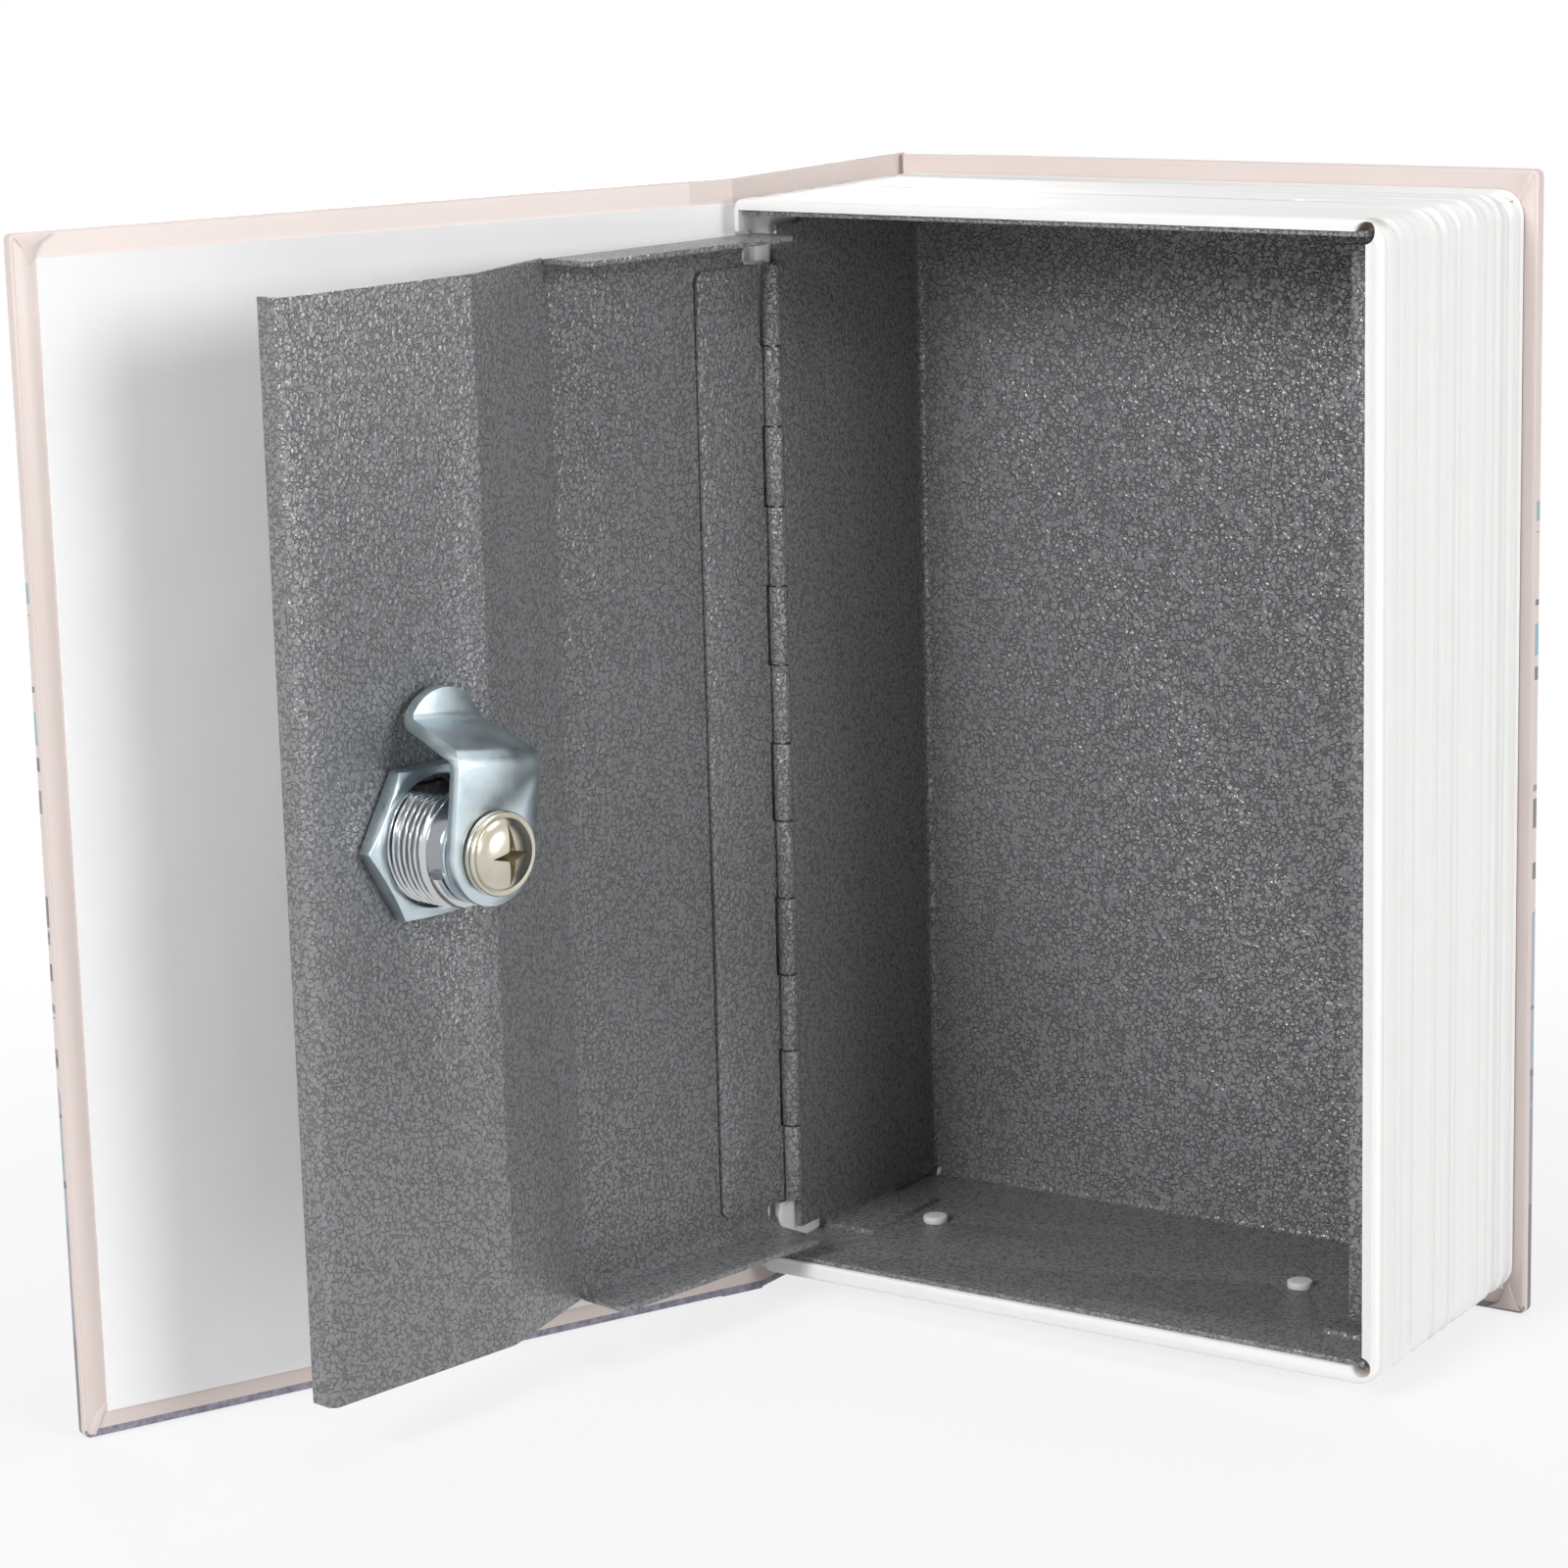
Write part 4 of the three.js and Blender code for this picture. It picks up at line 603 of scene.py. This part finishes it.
U_JOINT = FORE - JOINT
U_SPINE = U_JOINT + JOINT_WIDE
U_BACK = U_SPINE + 51.5
front = wrapped_board("front_cover_paper", JOINT, FORE, 1.1, 0.5)
unfold(front, FORE, -1, 0, 1)
settle(front, COVER_AXES, "front_cover", printed, ["front_wrap"])

back = wrapped_board("back_cover_paper", 2.8, FORE, 1.1, 0.5)
bridge = block("bridge", 1.2, 3.2, OUTER + 0.004, OUTER + 0.4, 0.02, 179.98)
only(back)
bridge.select_set(True)
bpy.ops.object.join()
unfold(back, U_BACK, 1, BOOK_HIGH, -1)
settle(back, BACK_AXES, "case", printed, ["back_wrap"])

spine = wrapped_board("spine_paper", 0, SPINE_WIDE, 0.3, 0.5)
unfold(spine, U_SPINE, 1, BOOK_HIGH, -1)
settle(spine, SPINE_AXES, "case", printed, ["spine_wrap"])

# %% [markdown]
# At the fore-edge the sheet is turned in last, over the head and tail strips, so its
# ends show as a slanting step, and the spare paper at each corner is tucked into a small
# pleat. These are flat shapes: a ring of corners is filled, given the thickness of the
# paper and bevelled a little. The same shapes serve both covers.

# %% Turned-in paper at the corners


def paper_shape(name, corners, y0, thick, bevel_mm):
    bpy.ops.object.select_all(action="DESELECT")
    bpy.ops.mesh.primitive_circle_add(vertices=len(corners), fill_type="NGON")
    piece = bpy.context.object
    piece.name = name
    for point, (x, z) in zip(piece.data.vertices, corners):
        point.co = (x, y0, z)
    bpy.ops.object.mode_set(mode="EDIT")
    bpy.ops.mesh.select_all(action="SELECT")
    bpy.ops.mesh.extrude_region_move(TRANSFORM_OT_translate={"value": (0, thick, 0)})
    bpy.ops.mesh.select_all(action="SELECT")
    bpy.ops.mesh.normals_make_consistent(inside=False)
    bpy.ops.mesh.bevel(offset=bevel_mm, segments=2, affect="EDGES")
    bpy.ops.object.mode_set(mode="OBJECT")
    return piece


STRIP = [(114.2, 0.7), (114.35, 40), (114.35, 140), (114.2, 179.3),
         (112.5, 177.3), (110.5, 175.9), (110.5, 4.1), (112.0, 3.0)]
HEAD_PLEAT = [
    (113.95, 179.4), (108.2, 179.62), (110.2, 178.5), (111.9, 175.2), (112.8, 177.6)]
TAIL_PLEAT = [(114.0, 0.7), (112.9, 0.55), (112.2, 2.2), (110.9, 5.4), (113.0, 3.4)]
for cover, axes, body in (("front", COVER_AXES, "front_cover"), ("back", BACK_AXES, "case")):
    strip = paper_shape(cover + "_fore_turn_in", STRIP, INNER - 0.05, 0.19, 0.05)
    settle(strip, axes, body, plain_paper)
    for place_name, corners in (("a", HEAD_PLEAT), ("b", TAIL_PLEAT)):
        pleat = paper_shape(f"{cover}_corner_pleat_{place_name}", corners, INNER, 0.27, 0.08)
        settle(pleat, axes, body, plain_paper)

# %% [markdown]
# Between the spine and the front cover the sheet is free: it is the hinge. It has a
# shallow groove outside and is lined with endpaper inside. The strip is cut across into
# 14 steps, and its two faces are laid on smooth paths between the boards.

# %% Paper joint
PATHS = {
    "outer": ((-2.9, -48.0), (-1.03, -51.7), (-5.874, -53.848)),
    "inner": ((-0.35, -48.0), (-1.95, -51.74), (-3.563, -54.925)),
    "lining": ((-0.05, -48.0), (-1.67, -51.27), (-3.291, -55.052)),
}


def along_path(path, t):
    a, b, c = (Vector(p) for p in PATHS[path])
    return (1 - t) ** 2 * a + 2 * t * (1 - t) * b + t ** 2 * c


JOINT_STEPS = 14
PAPER_FOLD = INNER - OUTER


def joint_sheet(name, z0, z1):
    sheet = block(name, 0, 1, 0, 1, z0, z1)
    for k in range(1, JOINT_STEPS):
        pick(sheet, "FACE", lambda face: True)
        bpy.ops.mesh.bisect(plane_co=(k / JOINT_STEPS, 0, 0), plane_no=(1, 0, 0))
        bpy.ops.object.mode_set(mode="OBJECT")
    return sheet


def lay(sheet, outside, inside):
    for point in sheet.data.vertices:
        t, depth = point.co.x, point.co.y
        place_xy = along_path(outside, t).lerp(along_path(inside, t), depth)
        point.co = (*place_xy, point.co.z)


joint = joint_sheet("joint_paper", 0, BOOK_HIGH)
layer = joint.data.uv_layers.new(name="jacket").data
for face in joint.data.polygons:
    for loop in face.loop_indices:
        point = joint.data.vertices[joint.data.loops[loop].vertex_index].co
        fold = PAPER_FOLD * point.y * ((face.normal.z > 0.5) - (face.normal.z < -0.5))
        high = -PAPER_FOLD - point.z if face.normal.y > 0.5 else point.z + fold
        layer[loop].uv = (U_SPINE - JOINT_WIDE * point.x, high)
lay(joint, "outer", "inner")
lining = joint_sheet("joint_lining", 3.8, 176.2)
lay(lining, "inner", "lining")
for sheet, slot, material in ((joint, "printed_paper", printed), (lining, "endpaper", endpaper)):
    only(sheet)
    bpy.ops.object.mode_set(mode="EDIT")
    bpy.ops.mesh.select_all(action="SELECT")
    bpy.ops.mesh.normals_make_consistent(inside=False)
    bpy.ops.object.mode_set(mode="OBJECT")
    sheet.data.transform(CASE_AXES)
    only(sheet)
    bpy.ops.object.shade_smooth_by_angle(angle=math.radians(50))
    sheet.data.materials.clear()
    sheet.data.materials.append(material)
    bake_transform(sheet)
    print(sheet.name, len(sheet.data.polygons), "faces")

# %% [markdown]
# The barrel of a cam lock carries a fine thread with two flats milled across it. A
# closed profile is spun about the lock's axis, with a ring every tenth of a millimetre
# along the thread. Each ring point then moves out or in by its place on the helix, and
# what stands past the flats is pressed back to them. A quadrant at the end is cut away
# for the stop, as on the CAD part.

# %% Threaded lock body
THREAD_START, THREAD_END, PITCH = 5.7, 16.8, 1.15
FLAT, ROOT, CREST = 8.0, 8.7, 9.5
RING_STEP, ROUND_STEPS = 0.1, 96
rings = [THREAD_START + RING_STEP * k for k in range(int((THREAD_END - THREAD_START) * 10) + 1)]
profile = [(6.15, -0.7), (9.7, -0.7), (10.35, -0.56), (10.8, -0.2), (11.0, 0.3),
           (11.0, 5.15), (10.85, 5.3), (8.9, 5.3)]
profile += [(9.2, n) for n in rings] + [(8.95, 17.0), (8.95, 18.2), (8.7, 18.5), (6.15, 18.5)]
lock_shell = turned("threaded_lock_body", profile, ROUND_STEPS)
for point in lock_shell.data.vertices:
    x, n, z = point.co
    radius = math.hypot(x, z)
    if radius > 7 and n > 5.31:
        if THREAD_START - 0.01 < n < THREAD_END + 0.01:
            turn = (n / PITCH + math.atan2(z, x) / (2 * math.pi)) % 1
            rise = min(1, max(0, (abs(2 * turn - 1) - 0.12) / 0.76))
            ends = min(1, (n - THREAD_START) / 0.5, (THREAD_END - n) / 0.5)
            radius_new = ROOT + (CREST - ROOT) * rise * rise * (3 - 2 * rise) * ends
            x, z = x * radius_new / radius, z * radius_new / radius
        point.co = (x, n, max(-FLAT, min(FLAT, z)))
quadrant = block("quadrant", -3, 10.5, 16.7, 19.5, -3, 10.5)
core = turned("core", [(0, 16), (7.4, 16), (7.4, 20), (0, 20)], ROUND_STEPS)
cut(quadrant, core)
cut(lock_shell, quadrant)
settle(lock_shell, LOCK_AXES, "door", chrome, ["lock_body"], 40)

# %% [markdown]
# The cam is held by a pan-head machine screw with a flange pressed into its head. The
# head is spun from its profile. The cross recess is cut with a cone whose rim is drawn
# out to a four-pointed star, as the punch that makes a real recess is tapered.

# %% Cam screw
screw = turned("cam_screw_head", [
    (0, 15.1), (2.3, 15.1), (2.3, 22.95), (5.9, 22.95), (6.08, 23.05), (6.15, 23.25),
    (6.15, 23.55), (6.02, 23.74), (5.7, 23.78), (5.42, 23.66), (5.3, 23.66), (5.2, 23.8),
    (5.0, 24.12), (4.6, 24.5), (4.0, 24.85), (3.2, 25.15), (2.2, 25.37), (1.1, 25.48),
    (0, 25.52)], 72)
bpy.ops.object.select_all(action="DESELECT")
bpy.ops.mesh.primitive_cone_add(vertices=16, radius1=1, radius2=0, depth=1,
                                rotation=(math.pi / 2, 0, 0))
bpy.ops.object.transform_apply(location=True, rotation=True, scale=True)
star = bpy.context.object
RECESS_FOOT, RECESS_RIM = 22.3, 26.2
UPRIGHT_TIP, LEVEL_TIP, FLANK, WAIST = 8.0, 4.8, 1.7, 1.2
for point in star.data.vertices:
    spread = math.hypot(point.co.x, point.co.z)
    if spread < 0.1:
        point.co = (0, RECESS_FOOT, 0)
    else:
        step = round(math.atan2(point.co.z, point.co.x) / (math.pi / 8)) % 4
        tip = UPRIGHT_TIP if abs(point.co.z) > abs(point.co.x) else LEVEL_TIP
        reach = (tip, FLANK, WAIST, FLANK)[step]
        point.co = (point.co.x * reach, RECESS_RIM, point.co.z * reach)
cut(screw, star)
settle(screw, LOCK_AXES, "lock_core", yellow_zinc, ["cam_screw"], 40)

# %% [markdown]
# Four nylon snap rivets hold the steel box in the page block. Their heads are low discs
# with a soft edge, and the tail spreads until it fills its hole. One is modelled, and
# each rivet gets a copy of it with its own mesh.

# %% Snap rivets
RIVET_Y = -23.7
rivet = turned("snap_rivet_model", [
    (0, -1.92), (1.52, -1.92), (1.52, -0.9), (1.2, -0.9), (1.2, 0.02), (1.95, 0.02),
    (2.0, 0.1), (2.0, 0.85), (1.94, 1.02), (1.8, 1.09), (1.2, 1.12), (0, 1.14)], 40)
heads = [(x, z, turn) for x in (18.0, 85.0) for z, turn in ((7.3, 1), (174.6, -1))]
for index, (x, z, up_or_down) in enumerate(heads, 1):
    copy = bpy.data.objects.new(f"snap_rivet_head_{index}", rivet.data.copy())
    bpy.context.scene.collection.objects.link(copy)
    stand = Matrix.Translation((x, RIVET_Y, z)) @ Matrix.Rotation(up_or_down * math.pi / 2, 4, "X")
    settle(copy, CASE_AXES @ stand, "case", nylon, [f"snap_rivet_{index}"])
bpy.data.objects.remove(rivet)

# %% [markdown]
# The set stands on a pale sweep between four soft lamps. One is in front, a little to the
# left, so that the side wall in the box stays dark, and one is exactly on the right, so
# that the door is lit and the box is not. The world is white where it is seen or
# mirrored. The floor takes the shadow close to the book and fades to the white of the
# background further out, so that no horizon shows.

# %% Studio


def seen_or_mirrored(tree):
    rays = tree.nodes.new("ShaderNodeLightPath").outputs
    looked_at = add(tree, "ShaderNodeMath", {0: rays["Is Camera Ray"], 1: rays["Is Glossy Ray"]},
                    operation="MAXIMUM")
    return add(tree, "ShaderNodeMath", {0: looked_at, 1: rays["Is Transmission Ray"]},
               operation="MAXIMUM")


bpy.ops.object.select_all(action="DESELECT")
bpy.ops.mesh.primitive_plane_add(size=6, location=(0, 0, -0.0002))
floor = bpy.context.object
floor.name = "floor"
ground = bpy.data.materials.new("pale_floor")
ground.use_nodes = True
tree = ground.node_tree
tree.nodes.clear()
seen = seen_or_mirrored(tree)
diffuse = add(tree, "ShaderNodeBsdfDiffuse", {"Color": linear("#F4F4F4")})
glow = add(tree, "ShaderNodeEmission", {"Color": (1, 1, 1, 1), "Strength": 1.0})
place = add(tree, "ShaderNodeTexCoord", out=3)
distance = add(tree, "ShaderNodeVectorMath", {0: place}, out=1, operation="LENGTH")
fade = add(tree, "ShaderNodeMapRange",
           {"Value": distance, "From Min": 0.1, "From Max": 0.32, "To Min": 0.78, "To Max": 1.0},
           interpolation_type="SMOOTHSTEP")
share = add(tree, "ShaderNodeMath", {0: seen, 1: fade}, operation="MULTIPLY")
both = add(tree, "ShaderNodeMixShader", {0: share, 1: diffuse, 2: glow})
tree.links.new(both, tree.nodes.new("ShaderNodeOutputMaterial").inputs["Surface"])
floor.data.materials.append(ground)

world = bpy.data.worlds.new("studio")
world.use_nodes = True
bpy.context.scene.world = world
tree = world.node_tree
tree.nodes.clear()
seen = seen_or_mirrored(tree)
level = add(tree, "ShaderNodeMapRange", {"Value": seen, "To Min": 0.022, "To Max": 1.0})
sky = add(tree, "ShaderNodeBackground", {"Color": (1, 1, 1, 1), "Strength": level})
tree.links.new(sky, tree.nodes.new("ShaderNodeOutputWorld").inputs["Surface"])


def lamp(name, spot, aim, size, power):
    light = bpy.data.lights.new(name, "AREA")
    light.shape = "DISK"
    light.size = size
    light.energy = power
    holder = bpy.data.objects.new(name, light)
    bpy.context.scene.collection.objects.link(holder)
    holder.location = spot
    holder.rotation_euler = (Vector(aim) - Vector(spot)).to_track_quat("-Z", "Y").to_euler()


lamp("key", (-0.05, -1.25, 0.68), (0.02, 0, 0.09), 0.5, 11.8)
lamp("side", (1.3, -0.08, 0.44), (0.02, 0, 0.09), 0.6, 8.6)
lamp("top", (0.1, 0.0, 1.3), (0.02, 0, 0.09), 0.8, 5)
lamp("back", (-1.0, 1.0, 0.45), (0, 0, 0.09), 0.7, 7.5)
